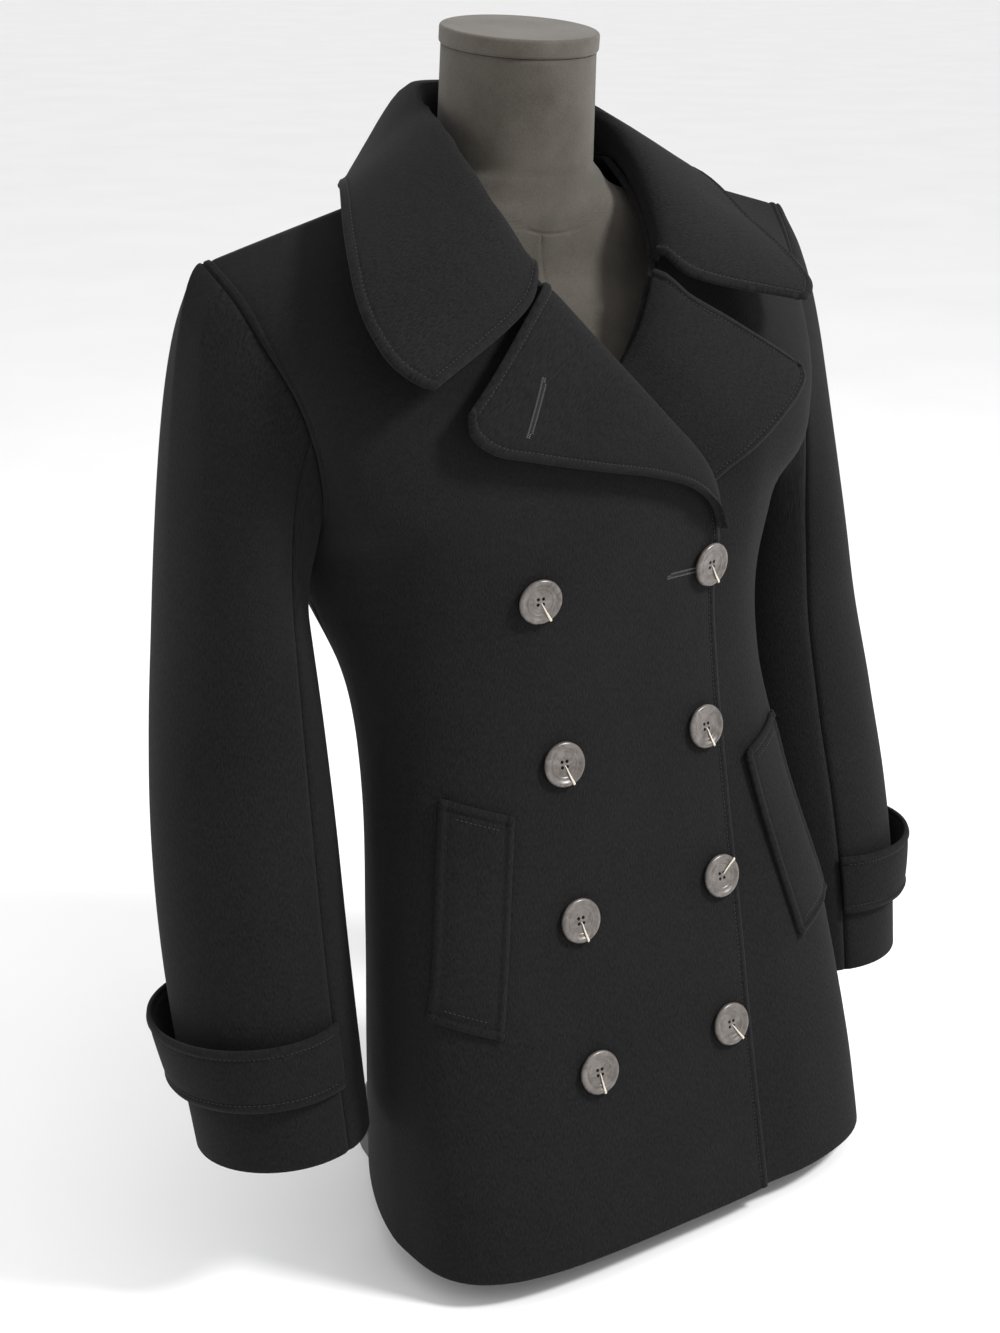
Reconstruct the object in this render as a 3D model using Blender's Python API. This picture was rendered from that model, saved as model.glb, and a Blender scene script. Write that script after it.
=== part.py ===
"""Women's double-breasted pea coat, filled out on a limbless dress form that stands on its own base.

Metres, +Z up. The origin is the middle of the base's flat underside. The front faces -Y and the
wearer's left is +X. Heights in the tables are above the coat's front hem, which hangs HEM_HEIGHT
above the floor. Every cloth piece is a thin closed wall, and neighbours stay SEAM_GAP apart.
"""

import math

import bmesh
import bpy
import numpy as np
from mathutils import Matrix

# ------------------------------------------------------------------ driving sizes
HEM_HEIGHT = 0.020
SEAM_GAP = 0.0003
WALL = {"front": 0.0030, "back": 0.0026, "sleeve": 0.0024, "collar": 0.0040, "lapel": 0.0036}
STRAP_WALL = 0.0036
WELT_WALL = 0.0030

FRONT_EDGE = 0.078          # each front reaches this far past the centre line
OVERLAP_STEP = 0.0042       # the under front lies this far inside the upper one
LAPEL_STEP = 0.0096         # and this far where the left lapel lies between them
OVERLAP_EASE = 0.045        # width over which it comes back out to the common surface
HEM_SWING = 0.17            # the left front flares this much wider at the hem
SWING_TOP = 0.30            # height where that flare starts
SWING_FROM_Y, SWING_DEPTH = 0.04, 0.14      # it grows forwards over this depth
SWING_REACH = 0.16          # and outwards to this distance from the centre line
UNDER_TUCK = (0.40, 0.06, 0.66, 0.08)       # the under front's deeper step: start, ease, end, ease
ARM_SWING = 0.016           # the left sleeve hangs this much wider than the right one
ARM_SWING_TOP, ARM_SWING_EASE = 0.56, 0.26  # height where that starts, and the drop to its full width

LOW_ROWS = 10               # mesh rows from hem to armpit
HIGH_ROWS = 8               # mesh rows from armpit to shoulder tip
FRONT_COLUMNS = 12          # also the back's columns along one shoulder seam
NECK_COLUMNS = 4            # columns of the back along one half of the neck
SEAM_SHARE = 0.70           # part of each back row that belongs to the shoulder seam's columns
DESIGN_STEPS = 96           # fineness of the design surfaces that pieces are read from

# ------------------------------------------------------------------ tables
# Level sections of the body, hem to armpit. side: widest half-width and where it lies; n: squareness.
BODY_COLUMNS = ("height", "side_x", "side_y", "front_y", "back_y", "front_n", "back_n")
BODY = (
    (0.000, 0.177, -0.112, -0.202, 0.118, 3.6, 1.50),
    (0.100, 0.176, -0.105, -0.180, 0.110, 3.6, 1.50),
    (0.200, 0.173, -0.094, -0.160, 0.097, 3.6, 1.50),
    (0.300, 0.160, -0.065, -0.141, 0.085, 3.1, 1.58),
    (0.370, 0.155, -0.040, -0.130, 0.083, 2.8, 1.80),
    (0.425, 0.166, -0.015, -0.124, 0.094, 2.7, 2.20),
    (0.470, 0.182, 0.000, -0.126, 0.106, 2.7, 2.30),
)
# Yoke rows of a front, armpit to shoulder seam: inner end on the roll line or neck seam, outer end on
# the armhole. The inner x is measured outwards, so it is negative past the centre.
YOKE_COLUMNS = ("in_x", "in_y", "in_z", "out_x", "out_y", "out_z", "n")
FRONT_YOKE = (
    (-0.062, -0.127, 0.512, 0.188, -0.050, 0.500, 2.8),
    (-0.020, -0.122, 0.560, 0.194, -0.063, 0.540, 2.7),
    (0.025, -0.103, 0.613, 0.203, -0.053, 0.582, 2.3),
    (0.052, -0.073, 0.655, 0.214, -0.034, 0.613, 1.8),
    (0.062, -0.038, 0.685, 0.223, -0.014, 0.640, 1.4),
    (0.066, -0.004, 0.705, 0.231, 0.008, 0.659, 1.0),
)
# Yoke rows of the back, from the centre back to the armhole.
BACK_YOKE = (
    (0.000, 0.113, 0.512, 0.186, 0.050, 0.500, 2.2),
    (0.000, 0.112, 0.562, 0.191, 0.062, 0.540, 2.1),
    (0.000, 0.105, 0.612, 0.202, 0.058, 0.582, 2.0),
    (0.000, 0.094, 0.652, 0.214, 0.043, 0.613, 1.8),
    (0.000, 0.080, 0.680, 0.224, 0.026, 0.640, 1.5),
)
NAPE = (0.000, 0.067, 0.697)
# Sleeve rings below the armpit: centre, half-width across, half-depth fore and aft, front-up tilt.
SLEEVE_COLUMNS = ("height", "x", "y", "half_x", "half_y", "tilt")
SLEEVE = (
    (0.430, 0.2275, 0.000, 0.0480, 0.060, 0.00),
    (0.360, 0.2285, -0.004, 0.0560, 0.060, 0.00),
    (0.290, 0.2325, -0.016, 0.0610, 0.060, 0.00),
    (0.220, 0.2365, -0.032, 0.0620, 0.060, 0.02),
    (0.150, 0.2375, -0.048, 0.0610, 0.058, 0.04),
    (0.086, 0.2355, -0.060, 0.0590, 0.056, 0.06),
)
SLEEVE_RINGS = 10           # rings from below the armpit to the cuff
HEAD_RINGS = 6              # rings between the armhole and those
HEAD_SPLAY = 0.10           # slope at which the sleeve leaves the armhole, at its top and at its bottom
HEAD_DROP = 0.70            # how much sooner the sleeve turns down at the shoulder than at the armpit
FRONT_SEAM_STEP = 5         # seam of top and under sleeve, in armhole steps from the shoulder tip
BACK_SEAM_STEP = 5

# Collar sections, centre back to the leaf's front edge: neck seam, top of the roll, just past it, edge.
COLLAR = {
    "right": (
        ((0.000, 0.0700, 0.6995), (0.000, 0.074, 0.750), (0.000, 0.084, 0.746), (0.000, 0.116, 0.680)),
        ((0.036, 0.0620, 0.7015), (0.037, 0.063, 0.751), (0.044, 0.071, 0.747), (0.066, 0.101, 0.685)),
        ((0.062, 0.0300, 0.7050), (0.060, 0.029, 0.745), (0.068, 0.034, 0.741), (0.106, 0.052, 0.691)),
        ((0.070, -0.0060, 0.7055), (0.067, -0.008, 0.731), (0.075, -0.009, 0.730), (0.141, -0.009, 0.697)),
        ((0.066, -0.0400, 0.6850), (0.065, -0.043, 0.702), (0.074, -0.049, 0.702), (0.165, -0.056, 0.669)),
        ((0.057, -0.0680, 0.6600), (0.057, -0.071, 0.671), (0.066, -0.079, 0.670), (0.175, -0.092, 0.632)),
        ((0.049, -0.0830, 0.6470), (0.050, -0.087, 0.653), (0.064, -0.102, 0.636), (0.164, -0.129, 0.590)),
    ),
    "left": (
        ((0.000, 0.0700, 0.6995), (0.000, 0.074, 0.750), (0.000, 0.084, 0.746), (0.000, 0.116, 0.680)),
        ((0.036, 0.0620, 0.7015), (0.037, 0.063, 0.750), (0.044, 0.071, 0.745), (0.065, 0.101, 0.685)),
        ((0.062, 0.0300, 0.7050), (0.060, 0.029, 0.741), (0.068, 0.034, 0.735), (0.102, 0.052, 0.690)),
        ((0.070, -0.0060, 0.7055), (0.067, -0.008, 0.726), (0.075, -0.010, 0.724), (0.134, -0.012, 0.691)),
        ((0.066, -0.0400, 0.6850), (0.065, -0.043, 0.699), (0.074, -0.050, 0.697), (0.148, -0.062, 0.660)),
        ((0.057, -0.0680, 0.6600), (0.057, -0.071, 0.671), (0.066, -0.080, 0.668), (0.156, -0.097, 0.638)),
        ((0.049, -0.0830, 0.6470), (0.050, -0.087, 0.653), (0.062, -0.101, 0.640), (0.151, -0.132, 0.617)),
    ),
}
COLLAR_HALF_COLUMNS = 14
COLLAR_ROWS = 11
LEAF_ROUNDING = 0.10        # share of the leaf's length over which its tip rounds off
LEAF_TIP = 0.10             # the rounded tip is this share of the leaf's depth shorter

# Lapels in front view: x outwards and height of the lower edge, break to tip, and how far the middle
# of the cloth lies off the chest there and at the roll line. The left lapel starts under the right one.
LAPEL = {
    "right": (
        (-0.0745, 0.4740, 0.0060, 0.0023),
        (-0.0650, 0.4910, 0.0090, 0.0023),
        (-0.0450, 0.5075, 0.0110, 0.0023),
        (-0.0120, 0.5200, 0.0115, 0.0023),
        (0.0300, 0.5300, 0.0120, 0.0023),
        (0.0847, 0.5430, 0.0130, 0.0023),
        (0.1110, 0.5500, 0.0145, 0.0023),
        (0.1200, 0.5590, 0.0150, 0.0023),
        (0.1195, 0.5700, 0.0150, 0.0023),
    ),
    "left": (
        (0.0560, 0.4915, -0.0063, -0.0077),
        (0.0800, 0.5085, -0.0012, -0.0072),
        (0.1030, 0.5245, 0.0060, -0.0020),
        (0.1260, 0.5410, 0.0100, 0.0010),
        (0.1425, 0.5530, 0.0120, 0.0030),
        (0.1485, 0.5610, 0.0130, 0.0034),
        (0.1435, 0.5685, 0.0130, 0.0034),
    ),
}
LAPEL_ROLL_START = {"right": 0.474, "left": 0.578}
LAPEL_ROLL_END = 0.640
LAPEL_NOTCH = {"right": (0.0590, 0.6250), "left": (0.0540, 0.6205)}
LAPEL_NOTCH_FROM = 0.70     # share of the roll line past which the lapel bends round the notch
LAPEL_ROLL_WIDTH = 0.0055
LAPEL_STEPS = (12, 7)

# Hand pocket welts: corners in front view, x outwards and height, round from the top inner one.
WELT = ((0.099, 0.307), (0.139, 0.322), (0.166, 0.184), (0.126, 0.167))
WELT_STEPS = (3, 6)

# Buttons: x on the wearer's left-right line and height, with a small tilt of each disc.
BUTTON_HEIGHTS = (0.447, 0.336, 0.231, 0.126)
BUTTON_LEFT_X = (0.070, 0.060, 0.062, 0.058)
BUTTON_RIGHT_X = (-0.070, -0.059, -0.059, -0.057)
BUTTON_RADIUS = 0.0152
BUTTON_THICKNESS = 0.0040
BUTTON_RIM = 0.0026
BUTTON_RECESS = 0.0012
BUTTON_HOLE_RADIUS = 0.0013
BUTTON_HOLE_OFFSET = 0.0024
BUTTON_LIFT = 0.0008
BUTTON_SIDES = 32

# Cuff strap: a band round the outside of the sleeve from the front seam to the back seam.
STRAP_TOP = 0.176
STRAP_BOTTOM = 0.134
STRAP_LOOSE_TOP = 0.012
STRAP_LOOSE_BOTTOM = 0.006
STRAP_REST = 0.0010
STRAP_COLUMNS = 14

# Dress form: level sections above the front hem, and its neck.
FORM_COLUMNS = ("height", "half_x", "front_y", "back_y", "front_n", "back_n")
FORM = (
    (0.045, 0.094, -0.096, 0.066, 2.2, 1.6),
    (0.060, 0.104, -0.108, 0.074, 2.2, 1.6),
    (0.140, 0.108, -0.108, 0.076, 2.2, 1.6),
    (0.220, 0.102, -0.102, 0.068, 2.2, 1.6),
    (0.300, 0.094, -0.094, 0.058, 2.2, 1.6),
    (0.370, 0.102, -0.095, 0.060, 2.2, 1.8),
    (0.430, 0.124, -0.102, 0.070, 2.2, 2.0),
    (0.490, 0.148, -0.108, 0.082, 2.3, 2.1),
    (0.540, 0.164, -0.100, 0.086, 2.4, 2.2),
    (0.580, 0.172, -0.082, 0.080, 2.4, 2.1),
    (0.610, 0.176, -0.062, 0.070, 2.2, 1.9),
    (0.635, 0.172, -0.045, 0.058, 2.0, 1.8),
    (0.650, 0.164, -0.041, 0.054, 1.9, 1.8),
    (0.662, 0.143, -0.041, 0.053, 1.8, 1.8),
    (0.674, 0.110, -0.042, 0.054, 1.8, 1.9),
    (0.686, 0.0728, -0.042, 0.055, 1.9, 2.0),
    (0.700, 0.0550, -0.043, 0.0585, 2.0, 2.0),
)
NECK_TOP = 0.777
NECK_RADIUS = 0.0505
NECK_BASE_RADIUS = 0.0520
NECK_TOP_Y = 0.003
NECK_LEAN = 0.060
CAP_TILT = 0.109
NECK_RINGS = 4
CAP_THICKNESS = 0.0120
CAP_RADIUS = 0.0520
CAP_ROUND = 0.0015
FORM_SIDES = 48
BASE_RADIUS = 0.125
BASE_THICKNESS = 0.012
BASE_ROUND = 0.003
POST_RADIUS = 0.022

WOOL = (0.028, 0.028, 0.030)
FELT = (0.110, 0.098, 0.085)
HORN = (0.160, 0.145, 0.132)
PAINT = (0.050, 0.048, 0.046)


# ------------------------------------------------------------------ small maths
def unit(v):
    return v / np.maximum(np.linalg.norm(v, axis=-1, keepdims=True), 1e-12)


def hermite(knots, values, x):
    """Smooth curve through the rows of values at the knots, read at x."""
    knots = np.asarray(knots, float)
    values = np.asarray(values, float)
    x = np.atleast_1d(np.asarray(x, float))
    steps = np.diff(knots)
    slopes = np.diff(values, axis=0) / steps.reshape((-1,) + (1,) * (values.ndim - 1))
    tangents = np.empty_like(values)
    tangents[0], tangents[-1] = slopes[0], slopes[-1]
    for i in range(1, len(knots) - 1):
        before, after = steps[i - 1], steps[i]
        tangents[i] = (slopes[i - 1] * after + slopes[i] * before) / (before + after)
    i = np.clip(np.searchsorted(knots, x) - 1, 0, len(knots) - 2)
    shape = (-1,) + (1,) * (values.ndim - 1)
    h = steps[i].reshape(shape)
    s = ((x - knots[i]) / steps[i]).reshape(shape)
    return (values[i] * (1 + 2 * s) * (1 - s) ** 2 + tangents[i] * h * s * (1 - s) ** 2
            + values[i + 1] * s * s * (3 - 2 * s) + tangents[i + 1] * h * s * s * (s - 1))


def resample(line, shares):
    """Points of a polyline at the given shares of its length."""
    length = np.concatenate([[0], np.cumsum(np.linalg.norm(np.diff(line, axis=0), axis=1))])
    at = np.asarray(shares) * length[-1]
    return np.stack([np.interp(at, length, line[:, k]) for k in range(3)], axis=1)


def smoothstep(x):
    x = np.clip(x, 0, 1)
    return x * x * (3 - 2 * x)


def column(table, names, name):
    return np.array([row[names.index(name)] for row in table])


def mirrored(points):
    return points * np.array([-1, 1, 1])


# ------------------------------------------------------------------ body of the coat
def body_row(row, start_x):
    """Half section of the body as a fine line from start_x, round the side, to the centre back."""
    height, side_x, side_y, front_y, back_y, front_n, back_n = row
    start = math.asin(np.sign(start_x) * (abs(start_x) / side_x) ** (front_n / 2))
    front = np.linspace(start, math.pi / 2, 400)
    back = np.linspace(math.pi / 2, math.pi, 400)[1:]
    line = []
    for angles, far_y, n in ((front, front_y, front_n), (back, back_y, back_n)):
        sine, cosine = np.sin(angles), np.abs(np.cos(angles))
        x = side_x * np.sign(sine) * np.abs(sine) ** (2 / n)
        y = side_y + (far_y - side_y) * cosine ** (2 / n)
        line.append(np.stack([x, y, np.full_like(x, height)], axis=1))
    return np.concatenate(line)


def split_at_side(line):
    """The front and back parts of a body line, cut at the side seam in the plane y = 0."""
    widest = int(np.argmax(line[:, 0]))
    after = widest + int(np.argmax(line[widest:, 1] >= 0))
    if line[after, 1] > 0 and after > 0:
        a, b = line[after - 1], line[after]
        seam = a + (b - a) * (-a[1] / (b[1] - a[1]))
        return np.concatenate([line[:after], [seam]]), np.concatenate([[seam], line[after:]])
    return line[:after + 1], line[after:]


def yoke_row(row, shares):
    """A yoke row from its inner to its outer end, rounding away from the straight line."""
    inner, outer, n = np.array(row[:3]), np.array(row[3:6]), row[6]
    angle = np.linspace(0, math.pi / 2, 400)[:, None]
    out = np.sin(angle) ** (2 / n)
    line = inner + (outer - inner) * out
    line[:, 1] = outer[1] + (inner[1] - outer[1]) * np.cos(angle[:, 0]) ** (2 / n)
    return resample(line, shares)


def design_surface(lower, yoke):
    """Key rows of a body piece, hem to shoulder seam, with the height that each belongs to."""
    rows = np.array(lower + yoke)
    heights = np.concatenate([column(BODY, BODY_COLUMNS, "height"),
                              column(FRONT_YOKE, YOKE_COLUMNS, "out_z")])
    return rows, heights


def row_levels(low, high):
    """Heights at the side and armhole where the mesh rows of every body piece start."""
    armpit = BODY[-1][0]
    top = FRONT_YOKE[-1][5]
    return np.concatenate([np.linspace(0, armpit, low + 1), np.linspace(armpit, top, high + 1)[1:]])


def front_keys(shares):
    lower = [resample(split_at_side(body_row(row, -FRONT_EDGE))[0], shares) for row in BODY]
    return design_surface(lower, [yoke_row(row, shares) for row in FRONT_YOKE])


def back_keys(seam_shares, neck_shares):
    """Key rows from the side seam or armhole to the centre back."""
    both = np.concatenate([seam_shares * SEAM_SHARE, SEAM_SHARE + neck_shares[1:] * (1 - SEAM_SHARE)])
    lower = [resample(split_at_side(body_row(row, 0.0))[1], both) for row in BODY]
    yoke = [yoke_row(row, 1 - both) for row in BACK_YOKE]
    neck_point, tip = np.array(FRONT_YOKE[-1][:3]), np.array(FRONT_YOKE[-1][3:6])
    seam = tip + (neck_point - tip) * seam_shares[:, None]
    turn = neck_shares[1:, None] * math.pi / 2
    nape = np.array(NAPE)
    neck = np.concatenate([neck_point[:1] * np.cos(turn),
                           neck_point[1] + (nape[1] - neck_point[1]) * np.sin(turn),
                           neck_point[2] + (nape[2] - neck_point[2]) * np.sin(turn)], axis=1)
    yoke.append(np.concatenate([seam, neck]))
    return design_surface(lower, yoke)


def swing(points):
    """The flare of the wearer's left hem, on points of either side."""
    out = points.copy()
    low = 1 - smoothstep(points[..., 2] / SWING_TOP)
    front = smoothstep((SWING_FROM_Y - points[..., 1]) / SWING_DEPTH)
    reach = smoothstep(points[..., 0] / SWING_REACH)
    out[..., 0] *= 1 + HEM_SWING * low * front * reach
    return out


def tuck_under(points):
    """The under front steps in below the upper one and eases out beyond its edge."""
    normals = grid_normals(points)
    reach = smoothstep((FRONT_EDGE + OVERLAP_EASE - points[..., 0]) / OVERLAP_EASE)
    start, start_ease, end, end_ease = UNDER_TUCK
    step = OVERLAP_STEP + (LAPEL_STEP - OVERLAP_STEP) * smoothstep((points[..., 2] - start) / start_ease)
    above = smoothstep((end - points[..., 2]) / end_ease)
    return points - normals * (step * reach * above)[..., None]


def grid_normals(grid):
    """Outward unit normals of a grid whose rows go up and whose columns go round."""
    along = np.gradient(grid, axis=1)
    up = np.gradient(grid, axis=0)
    return unit(np.cross(along, up))


def body_pieces():
    """Outer surfaces of the right front, the left front and the back."""
    levels = row_levels(LOW_ROWS, HIGH_ROWS)
    rows, knots = front_keys(np.linspace(0, 1, FRONT_COLUMNS + 1))
    front = hermite(knots, rows, levels)
    rows, knots = back_keys(np.linspace(0, 1, FRONT_COLUMNS + 1), np.linspace(0, 1, NECK_COLUMNS + 1))
    back = hermite(knots, rows, levels)
    right = mirrored(front)[:, ::-1]
    left = tuck_under(swing(front))
    left[:, -1], left[-1] = swing(front)[:, -1], swing(front)[-1]
    whole = np.concatenate([back, mirrored(back)[:, -2::-1]], axis=1)
    return right, left, swing(whole), front, back


# ------------------------------------------------------------------ sleeves
def sleeve_surface(front, back):
    """Rings of the left sleeve, armhole to cuff, each starting at the top or outer line."""
    front_hole = front[LOW_ROWS:, -1][::-1]
    back_hole = back[LOW_ROWS:, 0]
    hole = np.concatenate([front_hole, back_hole[1:-1]])
    around = len(hole)
    angle = np.arange(around) * 2 * math.pi / around
    heights = column(SLEEVE, SLEEVE_COLUMNS, "height")[::-1]
    table = np.array([row[1:] for row in SLEEVE])[::-1]

    def ring(height):
        x, y, half_x, half_y, tilt = hermite(heights, table, height)[0]
        dy = -half_y * np.sin(angle)
        return np.stack([x + half_x * np.cos(angle), y + dy, height - dy * tilt], axis=1)

    top = ring(heights[-1])
    shoulder = ((1 + np.cos(angle)) / 2)[:, None]
    reach = np.linalg.norm(top - hole, axis=1, keepdims=True)
    leave = unit(shoulder * np.array([1.0, 0, HEAD_SPLAY]) + (1 - shoulder) * np.array([HEAD_SPLAY, 0, -1.0]))
    leave = leave * reach * (1 - HEAD_DROP * shoulder)
    arrive = (ring(heights[-1] - 0.01) - top) / 0.01 * reach * 0.9
    rings = []
    for s in np.linspace(0, 1, HEAD_RINGS + 1)[:-1]:
        rings.append(hole * (1 + 2 * s) * (1 - s) ** 2 + leave * s * (1 - s) ** 2
                     + top * s * s * (3 - 2 * s) + arrive * s * s * (s - 1))
    for height in np.linspace(heights[-1], heights[0], SLEEVE_RINGS):
        rings.append(ring(height))
    return np.array(rings)


def arm_swing(points):
    out = points.copy()
    out[..., 0] += ARM_SWING * smoothstep((ARM_SWING_TOP - points[..., 2]) / ARM_SWING_EASE)
    return out


def sleeve_pieces(rings):
    """Top sleeve and under sleeve as grids, rows going down the arm."""
    around = rings.shape[1]
    top = [k % around for k in range(-BACK_SEAM_STEP, FRONT_SEAM_STEP + 1)]
    under = [k % around for k in range(FRONT_SEAM_STEP, around - BACK_SEAM_STEP + 1)]
    return rings[:, top], rings[:, under]


def strap_surface(rings):
    """The cuff strap: it stands off the sleeve between the two seams, most at its upper edge."""
    cuff = rings[-SLEEVE_RINGS:]
    around = rings.shape[1]
    seam_angles = np.linspace(FRONT_SEAM_STEP - 0.15, -BACK_SEAM_STEP + 0.15, STRAP_COLUMNS + 1)
    middle = cuff.mean(axis=1)
    rows = []
    for share in np.linspace(0, 1, 4):
        height = STRAP_BOTTOM + (STRAP_TOP - STRAP_BOTTOM) * share
        loose = STRAP_LOOSE_BOTTOM + (STRAP_LOOSE_TOP - STRAP_LOOSE_BOTTOM) * share
        order = np.argsort(middle[:, 2])
        ring = hermite(middle[order, 2], cuff[order], [height])[0]
        closed = np.concatenate([ring, ring[:1]])
        at = np.stack([np.interp(seam_angles % around, np.arange(around + 1), closed[:, k])
                       for k in range(3)], axis=1)
        centre = ring.mean(axis=0)
        outward = unit((at - centre) * np.array([1, 1, 0]))
        arc = np.sin(np.linspace(0, math.pi, STRAP_COLUMNS + 1)) ** 0.8
        rows.append(at + outward * (STRAP_REST + STRAP_WALL + loose * arc)[:, None])
    return np.array(rows)


# ------------------------------------------------------------------ collar and lapels
def collar_half(side, half_columns, rows):
    """Half of the collar, laid out on the wearer's left, from the centre back to the leaf's front edge."""
    sections = np.array(COLLAR[side], float)
    knots = np.linspace(0, 1, len(sections))
    ease = 1 - (1 - np.linspace(0, 1, half_columns + 1)) ** 1.15
    keys = hermite(knots, sections.reshape(len(sections), -1), ease).reshape(-1, 4, 3)
    out = []
    for key, u in zip(keys, ease):
        spans = np.linalg.norm(np.diff(key, axis=0), axis=1) ** 0.5
        knot = np.concatenate([[0], np.cumsum(spans)])
        line = hermite(knot, key, np.linspace(0, knot[-1], 80))
        shorten = LEAF_TIP * max(0.0, (u - (1 - LEAF_ROUNDING)) / LEAF_ROUNDING) ** 2
        out.append(resample(line, np.linspace(0, 1 - shorten, rows + 1)))
    return np.array(out).transpose(1, 0, 2)


def collar_surface(half_columns, rows):
    """Middle surface of the collar: rows from the neck seam over the roll to the outer edge."""
    right, left = (collar_half(side, half_columns, rows) for side in ("right", "left"))
    return np.concatenate([mirrored(right)[:, :0:-1], left], axis=1)


class Chest:
    """Reads the front's design surface by front-view position."""

    def __init__(self, surface):
        self.surface = surface
        widest = surface[..., 0].argmax(axis=1)
        self.facing = np.arange(surface.shape[1])[None] < widest[:, None]

    def at(self, x, z):
        """Points and normals of the surface at x outwards and height z."""
        grid = self.surface
        rows, cols = grid.shape[:2]
        x, z = np.atleast_1d(np.asarray(x, float)), np.atleast_1d(np.asarray(z, float))
        flat = grid.reshape(-1, 3)
        places = np.where(self.facing.ravel())[0]
        near = places[np.argmin((flat[places, 0][None] - x[:, None]) ** 2
                                + (flat[places, 2][None] - z[:, None]) ** 2, axis=1)]
        i, j = (near // cols).astype(float), (near % cols).astype(float)
        for _ in range(12):
            point, di, dj = self.read(i, j)
            a, b, c, d = di[:, 0], dj[:, 0], di[:, 2], dj[:, 2]
            det = a * d - b * c
            det = np.where(np.abs(det) < 1e-12, 1e-12, det)
            ex, ez = x - point[:, 0], z - point[:, 2]
            i = i + np.clip((d * ex - b * ez) / det, -2, 2)
            j = j + np.clip((a * ez - c * ex) / det, -2, 2)
            i, j = np.clip(i, -4, rows + 3), np.clip(j, -4, cols + 3)
        point, di, dj = self.read(i, j)
        return point, unit(np.cross(dj, di))

    def read(self, i, j):
        """Bilinear surface point and its derivatives at row i and column j, past the edges too."""
        grid = self.surface
        i0 = np.clip(np.floor(i).astype(int), 0, grid.shape[0] - 2)
        j0 = np.clip(np.floor(j).astype(int), 0, grid.shape[1] - 2)
        s, t = (i - i0)[:, None], (j - j0)[:, None]
        p00, p01 = grid[i0, j0], grid[i0, j0 + 1]
        p10, p11 = grid[i0 + 1, j0], grid[i0 + 1, j0 + 1]
        point = p00 * (1 - s) * (1 - t) + p01 * (1 - s) * t + p10 * s * (1 - t) + p11 * s * t
        return point, (p10 - p00) * (1 - t) + (p11 - p01) * t, (p01 - p00) * (1 - s) + (p11 - p10) * s


def lapel_surface(chest, side):
    """Middle surface of a lapel: turned over at the roll line, then lying out over the chest."""
    columns, rows = LAPEL_STEPS
    edge = np.array(LAPEL[side])
    shares = np.concatenate([[0], np.cumsum(np.linalg.norm(np.diff(edge[:, :2], axis=0), axis=1))])
    u = np.linspace(0.0, 1.0, columns + 1)
    edge_at = hermite(shares / shares[-1], edge, u)
    first, last = chest_row(chest, LAPEL_ROLL_START[side]), chest_row(chest, LAPEL_ROLL_END)
    roll = resample(chest.surface[first:last, 0], u)[:, [0, 2]]
    lines = []
    for start, (*end, edge_off, roll_off), share in zip(roll, edge_at, u):
        bend = smoothstep((share - LAPEL_NOTCH_FROM) / (1 - LAPEL_NOTCH_FROM))
        knee = (start + end) / 2 * (1 - bend) + np.array(LAPEL_NOTCH[side]) * bend
        path = resample(np.stack([np.append(p, 0.0) for p in (start, knee, end)]),
                        np.linspace(0, 1, rows + 1) ** 1.25)
        points, normals = chest.at(path[:, 0], path[:, 1])
        away = np.linalg.norm(path[:, :2] - start, axis=1)
        lift = roll_off + (edge_off - roll_off) * (1 - np.exp(-away / LAPEL_ROLL_WIDTH / 2)) ** 0.7
        lines.append(points + normals * lift[:, None])
    return np.array(lines).transpose(1, 0, 2)


def chest_row(chest, height):
    """Row of the design surface whose inner end is at a height."""
    return int(np.argmin(np.abs(chest.surface[:, 0, 2] - height)))


def welt_surface(chest):
    """A pocket welt lying on the front, from the front's own points moved out."""
    inner_top, outer_top, outer_bottom, inner_bottom = (np.array(p) for p in WELT)
    across, down = WELT_STEPS
    s, t = np.meshgrid(np.linspace(0, 1, across + 1), np.linspace(0, 1, down + 1))
    s, t = s[..., None], t[..., None]
    place = ((inner_bottom * (1 - s) + outer_bottom * s) * (1 - t)
             + (inner_top * (1 - s) + outer_top * s) * t)
    points, normals = chest.at(place[..., 0].ravel(), place[..., 1].ravel())
    return (points + normals * (2 * SEAM_GAP + WELT_WALL)).reshape(place.shape[:2] + (3,))


# ------------------------------------------------------------------ making solids
class Pieces:
    """Cloth pieces gathered first, so that neighbours share their normals along a seam."""

    def __init__(self):
        self.pieces = []

    def add(self, name, grid, wall, outward=1):
        self.pieces.append({"name": name, "grid": grid, "wall": wall, "normals": grid_normals(grid) * outward,
                            "outward": outward})

    def build(self, material):
        totals = {}
        for piece in self.pieces:
            for point, normal in zip(piece["grid"].reshape(-1, 3), piece["normals"].reshape(-1, 3)):
                key = tuple(np.round(point, 6))
                totals[key] = totals.get(key, 0) + normal
        for piece in self.pieces:
            grid = piece["grid"]
            own = piece["normals"]
            shared = np.array([totals[tuple(np.round(p, 6))] for p in grid.reshape(-1, 3)])
            shared = unit(shared).reshape(grid.shape)
            stretch = 1 / np.maximum((own * shared).sum(axis=-1), 0.6)
            placed = grid + inset_directions(grid, shared) * SEAM_GAP / 2
            inner = placed - shared * (piece["wall"] * stretch)[..., None]
            sheet_solid(piece["name"], placed, inner, piece["outward"], material)


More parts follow.
